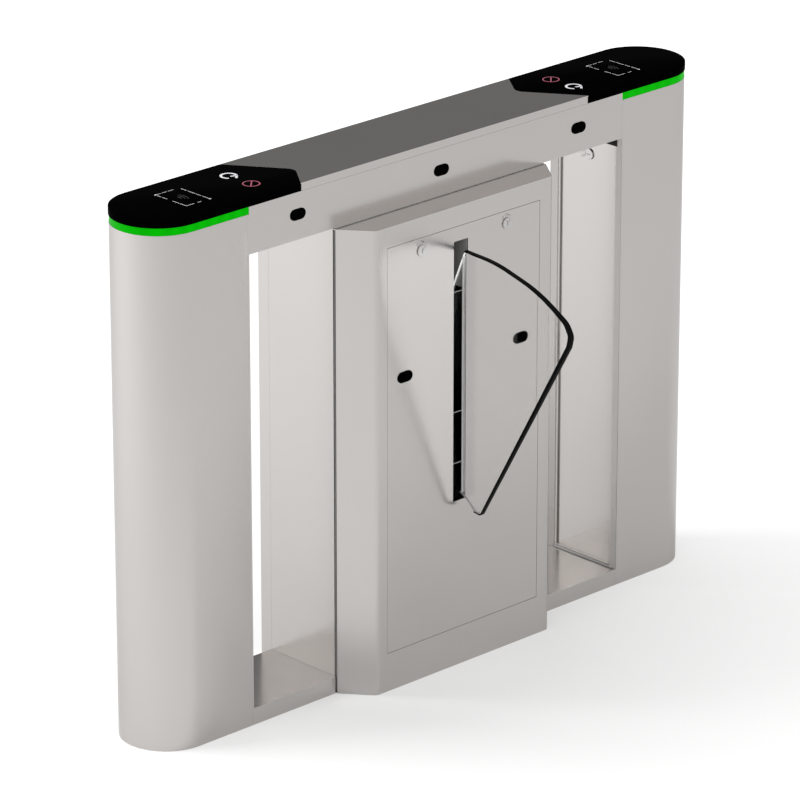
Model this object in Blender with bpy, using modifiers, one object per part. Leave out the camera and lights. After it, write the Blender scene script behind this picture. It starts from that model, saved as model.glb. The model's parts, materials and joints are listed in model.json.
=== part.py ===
"""A flap barrier pedestal for a walkway.

Two round-ended towers carry a beam, and a deeper housing under the beam holds a
clear wing that swings out through a slot in its door. The wing turns with a
sector gear that a geared motor drives through a pinion.

Metres, +Z up. X runs along the passage, and the door faces -Y. The origin is in
the middle of the underside. Near is the end at -X, and far is the end at +X.
"""

import math

import bmesh
import bpy
from mathutils import Matrix, Vector

# Whole pedestal
OVERALL_LENGTH = 1.400
OVERALL_HEIGHT = 1.020
BODY_WIDTH = 0.178
SHEET = 0.002
SEAT_GAP = 0.0003
CUT_OVERRUN = 0.004
BEND_RADIUS = 0.004
FINE_STEPS = 24
BEND_STEPS = 3

# Towers
TOWER_LENGTH = 0.224
LIP = 0.016
LIP_FOOT_HEIGHT = 0.040
LIP_HEAD_DROP = 0.020
LIP_RETURN = 0.023
PANEL_GAP = 0.0006
PANEL_RECESS = 0.004
PANEL_FLANGE = 0.015
PANEL_LOCK_DROP = 0.033
PANEL_HOOK_Y = 0.040
PASSAGE_WIDTH = 0.110
PASSAGE_HEIGHT = 0.040

# Beam, lid, caps and light strips
BEAM_DEPTH = 0.090
BEAM_RETURN = 0.012
LID_EDGE = 0.015
STRIP_HEIGHT = 0.014
STRIP_DEPTH = 0.008
STRIP_INSET = 0.0005
CAP_OVERHANG = 0.001
CAP_TOP = 0.004
CAP_WALL = 0.005
CAP_EDGE_ROUND = 0.0015
APEX_FROM_END = 0.396
APEX_Y = 0.024
SHORT_CORNER_FROM_END = 0.349
LONG_CORNER_FROM_END = 0.316
APEX_ROUND = 0.022
LID_GAP = 0.0008
CABLE_HOLE_RADIUS = 0.025

# Lid hinges
HINGE_X = 0.200
HINGE_LENGTH = 0.060
HINGE_KNUCKLE_RADIUS = 0.0045
HINGE_PIN_RADIUS = 0.002
HINGE_BORE_CLEARANCE = 0.0003
HINGE_LEAF = 0.002
HINGE_LEAF_HEIGHT = 0.028
LID_LEAF_HEIGHT = 0.011
HINGE_END_KNUCKLE = 0.015

# Base
PLATE = 0.004
SILL_HEIGHT = 0.033
SILL_SHEET = 0.002
ANCHOR_RADIUS = 0.007
TOWER_ANCHOR_FROM_END = 0.130
TOWER_ANCHOR_Y = 0.050
HOUSING_ANCHOR_X = 0.195
HOUSING_ANCHOR_Y = 0.080
CABLE_ENTRY_FROM_END = 0.100
CABLE_ENTRY_RADIUS = 0.030

# Housing
HOUSING_DEPTH = 0.300
HOUSING_LENGTH = 0.538
FRONT_FLAT_LEFT = 0.222
FRONT_FLAT_RIGHT = 0.227
COVER_START = 0.092
COVER_BEND_RADIUS = 0.014
SIDE_FRONT_Y = 0.085
SIDE_REAR_Y = 0.0885
REAR_FLANK_Y = 0.116
SIDE_FLANGE = 0.025
SHELF_DROP = 0.002

# Door
DOOR_WIDTH = 0.390
DOOR_BOTTOM = 0.077
DOOR_HEAD = 0.040
DOOR_GAP = 0.0008
DOOR_FLANGE = 0.015
DOOR_RETURN = 0.017
DOOR_HOOK_X = 0.150
DOOR_LOCK_X = 0.109
DOOR_LOCK_DROP = 0.024
HOOK_WIDTH = 0.020
HOOK_DROP = 0.006
SLOT_SILL = 0.020
SLOT_DROP = 0.028
SLOT_LEFT = 0.030
SLOT_RIGHT = 0.006

# Cam locks
LOCK_FACE_RADIUS = 0.011
LOCK_FACE = 0.0025
LOCK_FACE_ROUND = 0.0008
LOCK_BARREL_RADIUS = 0.008
LOCK_CLEARANCE = 0.0003
CAM_WIDTH = 0.014
CAM_THICKNESS = 0.003
CAM_GAP = 0.001
CAM_HOLD = 0.005
KEYWAY_WIDTH = 0.0016
KEYWAY_LENGTH = 0.009
KEYWAY_DEPTH = 0.0015

# Sensor windows
SENSOR_LENGTH = 0.037
SENSOR_HEIGHT = 0.021
SENSOR_FACE = 0.0015
SENSOR_STEP = 0.003
SENSOR_DEPTH = 0.018
BEAM_SENSOR_FROM_END = 0.342
BEAM_SENSOR_DROP = 0.042
DOOR_SENSOR_X = 0.151
DOOR_SENSOR_DROP = 0.258

# Wing, in distance out from the door face and height
WING_X = 0.003
WING_THICKNESS = 0.008
PIVOT_DEPTH = 0.050
PIVOT_HEIGHT = 0.250
WING_SWING = 30.0
WING_REACH = 0.277
WING_CROWN_SETBACK = 0.198
WING_SHOULDER_SETBACK = 0.087
WING_NOSE_SETBACK = 0.013
WING_HEADROOM = 0.023
WING_CROWN_DROP = 0.003
WING_SHOULDER_DROP = 0.031
WING_NOSE_DROP = 0.073
WING_CHIN_DROP = 0.118
WING_TIP_REACH = 0.047
WING_TIP_RISE = 0.061
WING_HEEL_REACH = 0.028
WING_HEEL_RISE = 0.063
WING_NOSE_ROUND = 0.020
WING_CROWN_ROUND = 0.300
WING_TIP_ROUND = 0.008
WING_BACK_DEPTH = 0.092
WING_BACK_DROP = 0.222
WING_FOOT_RISE = 0.112
RUBBER_WIDTH = 0.003
RUBBER_NOSE = 0.005
RUBBER_END = 0.001

# Wing arms and shaft
ARM_THICKNESS = 0.006
HUB_RADIUS = 0.028
HUB_LENGTH = 0.018
SHAFT_RADIUS = 0.012
SHAFT_CLEARANCE = 0.0003
ARM_FOOT_HALF_WIDTH = 0.027
ARM_ELBOW_INNER = 0.088
ARM_ELBOW_OUTER = 0.040
ARM_ELBOW_DROP = 0.222
ARM_HEAD_INNER = 0.036
ARM_HEAD_OUTER = 0.014
ARM_HEAD_DROP = 0.087
ARM_CORNER_ROUND = 0.008
STOP_LUG_REACH = 0.062
STOP_LUG_HALF_HEIGHT = 0.012

# Drive
MODULE = 0.003
SECTOR_TEETH = 80
PINION_TEETH = 20
PRESSURE_ANGLE = 20.0
BACKLASH = 0.0004
ROOT_DEPTH_SHARE = 1.25
GEAR_STANDOFF = 0.008
GEAR_WIDTH = 0.012
GEAR_HUB_RADIUS = 0.026
SECTOR_FROM = -9.0
SECTOR_TO = 39.0
SECTOR_RIM = 0.014
SECTOR_WINDOW_MARGIN = 9.0
SECTOR_WINDOW_INNER = 0.044
PINION_SHAFT_RADIUS = 0.007
MOTOR_RADIUS = 0.034
MOTOR_LENGTH = 0.062
GEARBOX_SIZE = 0.076
GEARBOX_LENGTH = 0.030
MOTOR_RING_LENGTH = 0.006
MOTOR_RING = 0.002

# Drive frame
CHEEK = 0.008
CHEEK_LEFT_X = -0.058
CHEEK_RIGHT_X = 0.060
CHEEK_FRONT_Y = -0.132
CHEEK_BACK_Y = 0.096
CHEEK_RISE = 0.046
CHEEK_ROUND = 0.024
CHEEK_FOOT = 0.036
CHEEK_WINDOW_LOW = 0.050
CHEEK_WINDOW_DROP = 0.070
CHEEK_WINDOW_MARGIN = 0.050
BEARING_RADIUS = 0.026
BEARING_LENGTH = 0.016
BEARING_FLANGE = 0.006
BEARING_FLANGE_SIZE = 0.063
SHAFT_OVERHANG = 0.008
STOP_RADIUS = 0.008
STOP_DISTANCE = 0.054
STOP_END_GAP = 0.002

# Readers, indicators and electronics
READER_FROM_END = 0.153
READER_LENGTH = 0.090
READER_WIDTH = 0.110
READER_HEIGHT = 0.020
INDICATOR_FROM_END = 0.290
INDICATOR_LENGTH = 0.040
INDICATOR_WIDTH = 0.100
INDICATOR_HEIGHT = 0.016
BOARD_LENGTH = 0.120
BOARD_HEIGHT = 0.180
BOARD = 0.002
BOARD_Z = 0.520
BOARD_POST_RADIUS = 0.004
BOARD_POST_LENGTH = 0.012
BOARD_POST_INSET = 0.010
BOARD_CHIP = 0.006
SUPPLY_LENGTH = 0.080
SUPPLY_WIDTH = 0.110
SUPPLY_HEIGHT = 0.200
SUPPLY_X = -0.190
SUPPLY_FIN = 0.002
SUPPLY_FIN_DEPTH = 0.006
SUPPLY_FINS = 6

# Derived places
HALF_WIDTH = BODY_WIDTH / 2
END_X = OVERALL_LENGTH / 2 - CAP_OVERHANG
TOWER_X = END_X + CAP_OVERHANG - TOWER_LENGTH
ROUND_X = END_X - HALF_WIDTH
BEAM_TOP = OVERALL_HEIGHT - LID_EDGE
BEAM_UNDERSIDE = BEAM_TOP - BEAM_DEPTH
TOWER_TOP = BEAM_TOP - STRIP_HEIGHT
HALF_DEPTH = HOUSING_DEPTH / 2
HALF_HOUSING = HOUSING_LENGTH / 2
SHELF_TOP = BEAM_UNDERSIDE - SHELF_DROP
APEX_X = OVERALL_LENGTH / 2 - APEX_FROM_END
SHORT_CORNER_X = OVERALL_LENGTH / 2 - SHORT_CORNER_FROM_END
LONG_CORNER_X = OVERALL_LENGTH / 2 - LONG_CORNER_FROM_END
BEAM_SENSOR_X = OVERALL_LENGTH / 2 - BEAM_SENSOR_FROM_END
BEAM_SENSOR_Z = BEAM_TOP - BEAM_SENSOR_DROP
DOOR_TOP = SHELF_TOP - DOOR_HEAD
DOOR_SENSOR_Z = DOOR_TOP - DOOR_SENSOR_DROP
SLOT_TOP = DOOR_TOP - SLOT_DROP
SLOT_BOTTOM = PIVOT_HEIGHT + WING_HEEL_RISE + SLOT_SILL
WING_TOP = SLOT_TOP - WING_HEADROOM
PIVOT_Y = -(HALF_DEPTH - PIVOT_DEPTH)
LID_HINGE_Y = HALF_WIDTH + 2 * SEAT_GAP + HINGE_KNUCKLE_RADIUS
LID_HINGE_Z = BEAM_TOP
PANEL_FACE_X = TOWER_X + PANEL_RECESS
PANEL_LOW = LIP_FOOT_HEIGHT + SEAT_GAP
PANEL_HIGH = BEAM_UNDERSIDE - LIP_HEAD_DROP - PANEL_GAP
RETURN_X = TOWER_X + LIP_RETURN
DOOR_RETURN_Y = -HALF_DEPTH + DOOR_RETURN
GEAR_X = CHEEK_RIGHT_X + CHEEK + GEAR_STANDOFF
SECTOR_PITCH = MODULE * SECTOR_TEETH / 2
PINION_PITCH = MODULE * PINION_TEETH / 2
PINION_Y = PIVOT_Y + SECTOR_PITCH + PINION_PITCH

STEEL = ("brushed_steel", (0.62, 0.61, 0.58), 0.32, 1.0)
BLACK_GLOSS = ("black_gloss", (0.006, 0.006, 0.007), 0.06, 0.0)
GREEN_LIGHT = ("green_light", (0.01, 0.45, 0.02), 0.30, 0.0)
CLEAR = ("clear_acrylic", (0.90, 0.93, 0.92), 0.03, 0.0)
RUBBER = ("black_rubber", (0.015, 0.015, 0.015), 0.60, 0.0)
BLACK_PAINT = ("black_paint", (0.02, 0.02, 0.02), 0.50, 0.0)
ZINC = ("zinc_steel", (0.55, 0.56, 0.57), 0.40, 1.0)
GEAR_STEEL = ("gear_steel", (0.40, 0.40, 0.41), 0.35, 1.0)
CAST = ("cast_alloy", (0.50, 0.50, 0.50), 0.50, 1.0)
BOARD_GREEN = ("board_green", (0.02, 0.18, 0.07), 0.45, 0.0)
DARK_PLASTIC = ("dark_plastic", (0.03, 0.03, 0.035), 0.45, 0.0)
LOCK_CHROME = ("lock_chrome", (0.70, 0.70, 0.72), 0.15, 1.0)


# Scene

def clear_scene():
    for item in list(bpy.data.objects):
        bpy.data.objects.remove(item, do_unlink=True)


def collection_named(name):
    collection = bpy.data.collections.get(name)
    if collection is None:
        collection = bpy.data.collections.new(name)
        bpy.context.scene.collection.children.link(collection)
    return collection


def material_for(look):
    name, colour, roughness, metallic = look
    material = bpy.data.materials.get(name)
    if material is None:
        material = bpy.data.materials.new(name)
        material.use_nodes = True
        shader = material.node_tree.nodes["Principled BSDF"]
        shader.inputs["Base Color"].default_value = (*colour, 1.0)
        shader.inputs["Roughness"].default_value = roughness
        shader.inputs["Metallic"].default_value = metallic
    return material


def rest_empty(name, location):
    """An empty on a joint's axis, which its moving pieces are parented to."""
    empty = bpy.data.objects.new(name, None)
    empty.location = location
    collection_named("flap_barrier").objects.link(empty)
    bpy.context.view_layer.update()
    return empty


# Outlines

def arc(centre, radius, first, last, steps):
    """Points round a centre, with angles in degrees, ends included."""
    points = []
    for step in range(steps + 1):
        angle = math.radians(first + (last - first) * step / steps)
        points.append((centre[0] + radius * math.cos(angle), centre[1] + radius * math.sin(angle)))
    return points


def circle(centre, radius, steps):
    return arc(centre, radius, 0.0, 360.0, steps)[:-1]


def rounded(corners, radii, steps, closed=True):
    """A polyline whose corners are turned into arcs. A radius of zero keeps its corner."""
    points = []
    count = len(corners)
    for index, corner in enumerate(corners):
        at_end = not closed and index in (0, count - 1)
        radius = radii[index]
        if at_end or radius <= 0:
            points.append(tuple(corner))
            continue
        here = Vector(corner)
        back = (Vector(corners[index - 1]) - here).normalized()
        ahead = (Vector(corners[(index + 1) % count]) - here).normalized()
        half = math.acos(max(-1.0, min(1.0, back.dot(ahead)))) / 2
        reach = radius / math.tan(half)
        centre = here + (back + ahead).normalized() * (radius / math.sin(half))
        start = here + back * reach - centre
        turn = start.angle_signed(here + ahead * reach - centre)
        for step in range(steps + 1):
            angle = -turn * step / steps
            points.append((
                centre.x + start.x * math.cos(angle) - start.y * math.sin(angle),
                centre.y + start.x * math.sin(angle) + start.y * math.cos(angle),
            ))
    return points


def offset(points, distance, closed=True):
    """The polyline moved sideways, to its left where the distance is positive."""
    moved = []
    count = len(points)
    for index, point in enumerate(points):
        here = Vector(point)
        before = Vector(points[index - 1])
        after = Vector(points[(index + 1) % count])
        if not closed and index == 0:
            before = here * 2 - after
        if not closed and index == count - 1:
            after = here * 2 - before
        one = (here - before).normalized()
        two = (after - here).normalized()
        normal = Vector((-one.y - two.y, one.x + two.x)).normalized()
        across = normal.dot(Vector((-one.y, one.x)))
        moved.append(tuple(here + normal * (distance / across)))
    return moved


def strip(points, thickness):
    """A closed outline round a sheet whose outer side follows the points."""
    return points + offset(points, thickness, closed=False)[::-1]


# Solids

def new_piece(mesh):
    piece = bpy.data.objects.new("piece", mesh)
    collection_named("flap_barrier").objects.link(piece)
    return piece


def mesh_from(maker):
    shape = bmesh.new()
    maker(shape)
    bmesh.ops.recalc_face_normals(shape, faces=shape.faces)
    mesh = bpy.data.meshes.new("piece")
    shape.to_mesh(mesh)
    shape.free()
    return mesh


def box(low, high):
    size = Vector(high) - Vector(low)
    middle = (Vector(high) + Vector(low)) / 2
    matrix = Matrix.Translation(middle) @ Matrix.Diagonal((*size, 1.0))
    return new_piece(mesh_from(lambda shape: bmesh.ops.create_cube(shape, size=1.0, matrix=matrix)))


AXIS_TURNS = {
    "X": Matrix(((0, 0, 1, 0), (1, 0, 0, 0), (0, 1, 0, 0), (0, 0, 0, 1))),
    "Y": Matrix(((1, 0, 0, 0), (0, 0, -1, 0), (0, 1, 0, 0), (0, 0, 0, 1))),
    "Z": Matrix.Identity(4),
}
AXIS_WAYS = {"X": Vector((1, 0, 0)), "Y": Vector((0, 1, 0)), "Z": Vector((0, 0, 1))}


def prism(axis, outlines, low, high):
    """Flat outlines, holes included, given thickness along an axis.

    The outlines are in Y and Z along X, in X and Z along Y, and in X and Y along Z.
    """
    curve = bpy.data.curves.new("outline", "CURVE")
    curve.dimensions = "2D"
    curve.fill_mode = "BOTH"
    curve.extrude = (high - low) / 2
    for outline in outlines:
        spline = curve.splines.new("POLY")
        spline.points.add(len(outline) - 1)
        for point, place in zip(spline.points, outline):
            point.co = (place[0], place[1], 0.0, 1.0)
        spline.use_cyclic_u = True
    drawn = bpy.data.objects.new("outline", curve)
    bpy.context.scene.collection.objects.link(drawn)
    mesh = bpy.data.meshes.new_from_object(drawn.evaluated_get(bpy.context.evaluated_depsgraph_get()))
    bpy.data.objects.remove(drawn, do_unlink=True)
    shape = bmesh.new()
    shape.from_mesh(mesh)
    bmesh.ops.remove_doubles(shape, verts=shape.verts, dist=SEAT_GAP / 100)
    shift = Matrix.Translation(AXIS_WAYS[axis] * ((low + high) / 2))
    bmesh.ops.transform(shape, matrix=shift @ AXIS_TURNS[axis], verts=shape.verts)
    bmesh.ops.recalc_face_normals(shape, faces=shape.faces)
    shape.to_mesh(mesh)
    shape.free()
    return new_piece(mesh)


def cylinder(axis, centre, radius, low, high, steps=FINE_STEPS):
    """A round bar along an axis; the centre gives its two other coordinates."""
    return prism(axis, [circle(centre, radius, steps)], low, high)


def boolean(piece, tools, operation):
    for tool in tools:
        modifier = piece.modifiers.new("boolean", "BOOLEAN")
        modifier.operation = operation
        modifier.solver = "EXACT"
        modifier.object = tool
        tool.name = "cutter"
        tool.hide_render = True
        tool.display_type = "WIRE"
        collection_named("flap_barrier").objects.unlink(tool)
        collection_named("cutters").objects.link(tool)
    return piece


def cut(piece, *tools):
    return boolean(piece, tools, "DIFFERENCE")


def join(piece, *tools):
    return boolean(piece, tools, "UNION")


def bevel(piece, width, segments=2, angle=50.0):
    modifier = piece.modifiers.new("bevel", "BEVEL")
    modifier.width = width
    modifier.segments = segments
    modifier.limit_method = "ANGLE"
    modifier.angle_limit = math.radians(angle)
    return piece


def finish(piece, name, look, origin=None, parent=None):
    """Names a piece, bakes its modifiers, and puts its origin where it belongs."""
    graph = bpy.context.evaluated_depsgraph_get()
    mesh = bpy.data.meshes.new_from_object(piece.evaluated_get(graph))
    piece.modifiers.clear()
    if origin is None:
        corners = [Vector(corner) for corner in piece.bound_box]
        origin = sum(corners, Vector()) / len(corners)
    mesh.transform(Matrix.Translation(-Vector(origin)))
    mesh.shade_smooth()
    mesh.set_sharp_from_angle(angle=math.radians(30.0))
    mesh.materials.clear()
    mesh.materials.append(material_for(look))
    mesh.name = name
    piece.data = mesh
    piece.name = name
    piece.location = origin
    if parent is not None:
        piece.parent = parent
        piece.matrix_parent_inverse = parent.matrix_world.inverted()
    return piece


def turned_copy(piece, name, parent=None):
    """A copy at the other end of the pedestal, turned half round about the middle."""
    twin = piece.copy()
    twin.name = name
    twin.parent = None
    collection_named("flap_barrier").objects.link(twin)
    twin.location = (-piece.location.x, -piece.location.y, piece.location.z)
    twin.rotation_euler = (0.0, 0.0, math.pi)
    if parent is not None:
        twin.parent = parent
        twin.matrix_parent_inverse = parent.matrix_world.inverted()
    return twin


def shifted_copy(piece, name, shift, parent=None):
    """A copy that shares its mesh, moved along X."""
    twin = piece.copy()
    twin.name = name
    twin.parent = None
    collection_named("flap_barrier").objects.link(twin)
    twin.location = (piece.location.x + shift, piece.location.y, piece.location.z)
    if parent is not None:
        twin.parent = parent
        twin.matrix_parent_inverse = parent.matrix_world.inverted()
    return twin


# Shared outlines

def tower_outline(inset):
    """The near tower in plan, from its inner wall round the end and back."""
    wall_x = -(TOWER_X + inset)
    half = HALF_WIDTH - inset
    corners = [(-ROUND_X, -half), (wall_x, -half), (wall_x, half), (-ROUND_X, half)]
    radius = max(BEND_RADIUS - inset, BEND_RADIUS / 4)
    flat = rounded(corners, (0, radius, radius, 0), BEND_STEPS)
    return flat + arc((-ROUND_X, 0.0), half, 90.0, 270.0, FINE_STEPS)[1:-1]


def chevron(near_x, far_x, apex_x, half):
    """The pointed end of a cap in plan, from the door side to the back."""
    corners = [(near_x, -half), (apex_x, -APEX_Y), (far_x, half)]
    return rounded(corners, (0, APEX_ROUND, 0), BEND_STEPS * 2, closed=False)


def cap_outline(inset):
    half = HALF_WIDTH + CAP_OVERHANG - inset
    point = chevron(-(SHORT_CORNER_X + inset), -(LONG_CORNER_X + inset), -(APEX_X + inset), half)
    return point + arc((-ROUND_X, 0.0), half, 90.0, 270.0, FINE_STEPS)


def cover_path(sign):
    """The bent front or rear cover in plan, its outer side, from -X to +X on the door side.

    The rear one runs straight back along the bays before it turns in.
    """
    turn_in = -(COVER_START if sign > 0 else REAR_FLANK_Y)
    bends = [
        (-HALF_HOUSING, turn_in),
        (-FRONT_FLAT_LEFT, -HALF_DEPTH),
        (FRONT_FLAT_RIGHT, -HALF_DEPTH),
        (HALF_HOUSING, turn_in),
    ]
    path = rounded(bends, (0, COVER_BEND_RADIUS, COVER_BEND_RADIUS, 0), BEND_STEPS * 2, closed=False)
    if sign < 0:
        flank = -(SIDE_REAR_Y + SEAT_GAP)
        path = [(-HALF_HOUSING, flank)] + path + [(HALF_HOUSING, flank)]
    return [(sign * x, sign * y) for x, y in path]


def obround(centre, length, height, steps):
    """A slot shape with round ends, long along its first axis."""
    radius = height / 2
    reach = length / 2 - radius
    right = arc((centre[0] + reach, centre[1]), radius, -90.0, 90.0, steps)
    left = arc((centre[0] - reach, centre[1]), radius, 90.0, 270.0, steps)
    return right + left


def rectangle(low, high):
    return [(low[0], low[1]), (high[0], low[1]), (high[0], high[1]), (low[0], high[1])]


# Base

def make_base():
    edge = HALF_WIDTH - SHEET - SEAT_GAP
    inner = SHEET + SEAT_GAP
    outline = []
    for sign in (1.0, -1.0):
        cover = offset(cover_path(sign), inner, closed=False)
        end = arc((-ROUND_X, 0.0), edge, 90.0, 270.0, FINE_STEPS)
        outline += [(sign * x, sign * y) for x, y in end]
        outline += [(cover[0][0], -sign * edge)] + cover + [(cover[-1][0], -sign * edge)]
    holes = []
    tower_x = OVERALL_LENGTH / 2 - TOWER_ANCHOR_FROM_END
    for sx in (-1, 1):
        entry_x = sx * (OVERALL_LENGTH / 2 - CABLE_ENTRY_FROM_END)
        holes.append(circle((entry_x, 0.0), CABLE_ENTRY_RADIUS, FINE_STEPS))
        for sy in (-1, 1):
            for x, y in ((tower_x, TOWER_ANCHOR_Y), (HOUSING_ANCHOR_X, HOUSING_ANCHOR_Y)):
                holes.append(circle((sx * x, sy * y), ANCHOR_RADIUS, FINE_STEPS // 2))
    plate = prism("Z", [outline] + holes, 0.0, PLATE)
    finish(plate, "base_plate", BLACK_PAINT, (0.0, 0.0, 0.0))


def make_sills():
    """The front sill is bent back into the bay's floor; the rear one closes the bay behind it."""
    outer = TOWER_X - SEAT_GAP
    inner = HALF_HOUSING + SEAT_GAP
    back = HALF_WIDTH - SILL_SHEET - SEAT_GAP
    for sign, side in ((-1, "left"), (1, "right")):
        low, high = sorted((sign * inner, sign * outer))
        face = box((low, -HALF_WIDTH, 0.0), (high, SILL_SHEET - HALF_WIDTH, SILL_HEIGHT))
        plate = box((low, -HALF_WIDTH, SILL_HEIGHT - SILL_SHEET), (high, back, SILL_HEIGHT))
        finish(join(plate, face), "sill_%s_front" % side, STEEL)
        sill = box((low, HALF_WIDTH - SILL_SHEET, 0.0), (high, HALF_WIDTH, SILL_HEIGHT))
        finish(sill, "sill_%s_rear" % side, STEEL)


# Towers

def make_towers():
    shell = prism("Z", [tower_outline(0.0), tower_outline(SHEET)], 0.0, TOWER_TOP - SEAT_GAP)
    wall_low = -TOWER_X - SHEET - CUT_OVERRUN
    wall_high = -TOWER_X + CUT_OVERRUN
    opening = HALF_WIDTH - LIP
    head = BEAM_UNDERSIDE - LIP_HEAD_DROP
    edge = HALF_WIDTH - SHEET
    passage_middle = (BEAM_UNDERSIDE + BEAM_TOP) / 2
    fold = box(
        (-RETURN_X, -opening - SHEET, LIP_FOOT_HEIGHT - SHEET),
        (-TOWER_X - SHEET / 2, opening + SHEET, head + SHEET),
    )
    window = box((-RETURN_X - CUT_OVERRUN, -opening, LIP_FOOT_HEIGHT), (wall_high, opening, head))
    foot = box((wall_low, -edge, -CUT_OVERRUN), (wall_high, edge, PLATE + SEAT_GAP))
    passage = box(
        (wall_low, -PASSAGE_WIDTH / 2, passage_middle - PASSAGE_HEIGHT / 2),
        (wall_high, PASSAGE_WIDTH / 2, passage_middle + PASSAGE_HEIGHT / 2),
    )
    finish(cut(join(shell, fold), window, foot, passage), "tower_near_shell", STEEL)
    turned_copy(shell, "tower_far_shell")


def make_tower_panels():
    half = HALF_WIDTH - LIP - PANEL_GAP
    face = -PANEL_FACE_X
    hinge = rest_empty("tower_near_panel_hinge", (face, 0.0, PANEL_LOW))
    twin_hinge = rest_empty("tower_far_panel_hinge", (-face, 0.0, PANEL_LOW))
    panel = box((face - PANEL_FLANGE, -half, PANEL_LOW), (face, half, PANEL_HIGH))
    hollow = box(
        (face - PANEL_FLANGE - CUT_OVERRUN, -half + SHEET, PANEL_LOW + SHEET),
        (face - SHEET, half - SHEET, PANEL_HIGH - SHEET),
    )
    lock_z = PANEL_HIGH - PANEL_LOCK_DROP
    hole_radius = LOCK_BARREL_RADIUS + LOCK_CLEARANCE
    hole = cylinder("X", (0.0, lock_z), hole_radius, face - PANEL_FLANGE, face + CUT_OVERRUN)
    hooks = []
    back = -RETURN_X - SEAT_GAP
    for y in (-PANEL_HOOK_Y, PANEL_HOOK_Y):
        low, high = y - HOOK_WIDTH / 2, y + HOOK_WIDTH / 2
        top = PANEL_LOW + SHEET
        hooks.append(box((back - SHEET, low, PANEL_LOW), (face - PANEL_FLANGE + SHEET, high, top)))
        hooks.append(box((back - SHEET, low, PANEL_LOW - HOOK_DROP), (back, high, top)))
    finish(join(cut(panel, hollow, hole), *hooks), "tower_near_panel", STEEL, hinge.location, hinge)
    turned_copy(panel, "tower_far_panel", twin_hinge)
    turn = rest_empty("tower_near_lock_axis", (face, 0.0, lock_z))
    twin_turn = rest_empty("tower_far_lock_axis", (-face, 0.0, lock_z))
    reach = PANEL_LOCK_DROP + PANEL_GAP + SHEET + CAM_HOLD
    lock = make_lock(reach, LIP_RETURN - PANEL_RECESS)
    lock.data.transform(Matrix.Rotation(math.pi / 2, 4, "Z"))
    lock.data.transform(Matrix.Rotation(math.pi / 2, 4, "X"))
    place_lock(lock, "tower_near_lock", turn)
    turned_copy(lock, "tower_far_lock", twin_turn)


def make_lock(reach, fold):
    """A key cylinder facing -Y about the origin, whose cam points up behind a folded edge."""
    cam_front = fold + CAM_GAP
    cam_back = cam_front + CAM_THICKNESS
    face = cylinder("Y", (0.0, 0.0), LOCK_FACE_RADIUS, -LOCK_FACE - SEAT_GAP, -SEAT_GAP)
    bevel(face, LOCK_FACE_ROUND, 1)
    barrel = cylinder("Y", (0.0, 0.0), LOCK_BARREL_RADIUS, -LOCK_FACE / 2, cam_back - SEAT_GAP)
    half = CAM_WIDTH / 2
    corners = rectangle((-half, -half), (half, reach))
    radius = CAM_WIDTH / 3
    outline = rounded(corners, (radius, radius, radius, radius), BEND_STEPS)
    cam = prism("Y", [outline], cam_front, cam_back)
    keyway = box(
        (-KEYWAY_WIDTH / 2, -LOCK_FACE - CUT_OVERRUN, -KEYWAY_LENGTH / 2),
        (KEYWAY_WIDTH / 2, -LOCK_FACE + KEYWAY_DEPTH, KEYWAY_LENGTH / 2),
    )
    lock = cut(join(face, barrel, cam), keyway)
    graph = bpy.context.evaluated_depsgraph_get()
    lock.data = bpy.data.meshes.new_from_object(lock.evaluated_get(graph))
    lock.modifiers.clear()
    return lock


def place_lock(lock, name, axis_empty):
    lock.name = name
    lock.data.name = name
    lock.data.materials.clear()
    lock.data.materials.append(material_for(LOCK_CHROME))
    lock.location = axis_empty.location
    lock.parent = axis_empty
    lock.matrix_parent_inverse = axis_empty.matrix_world.inverted()


# Beam, lid and caps

def sensor_outline(x, z, inset):
    return obround((x, z), SENSOR_LENGTH - 2 * inset, SENSOR_HEIGHT - 2 * inset, FINE_STEPS // 3)


def make_beam():
    top = BEAM_TOP - SEAT_GAP
    path = [
        (-HALF_WIDTH + BEAM_RETURN, top),
        (-HALF_WIDTH, top),
        (-HALF_WIDTH, BEAM_UNDERSIDE),
        (HALF_WIDTH, BEAM_UNDERSIDE),
        (HALF_WIDTH, top),
    ]
    end = TOWER_X - SEAT_GAP
    beam = prism("X", [strip(path, SHEET)], -end, end)
    tools = []
    for x in (-BEAM_SENSOR_X, 0.0, BEAM_SENSOR_X):
        hole = sensor_outline(x, BEAM_SENSOR_Z, SENSOR_STEP - SEAT_GAP)
        tools.append(prism("Y", [hole], -HALF_WIDTH - CUT_OVERRUN, -HALF_WIDTH + SHEET + CUT_OVERRUN))
    low, high = BEAM_UNDERSIDE - CUT_OVERRUN, BEAM_UNDERSIDE + SHEET + CUT_OVERRUN
    for x in (-HALF_HOUSING / 2, HALF_HOUSING / 2):
        tools.append(cylinder("Z", (x, 0.0), CABLE_HOLE_RADIUS, low, high))
    finish(cut(beam, *tools), "beam_channel", STEEL)


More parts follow.
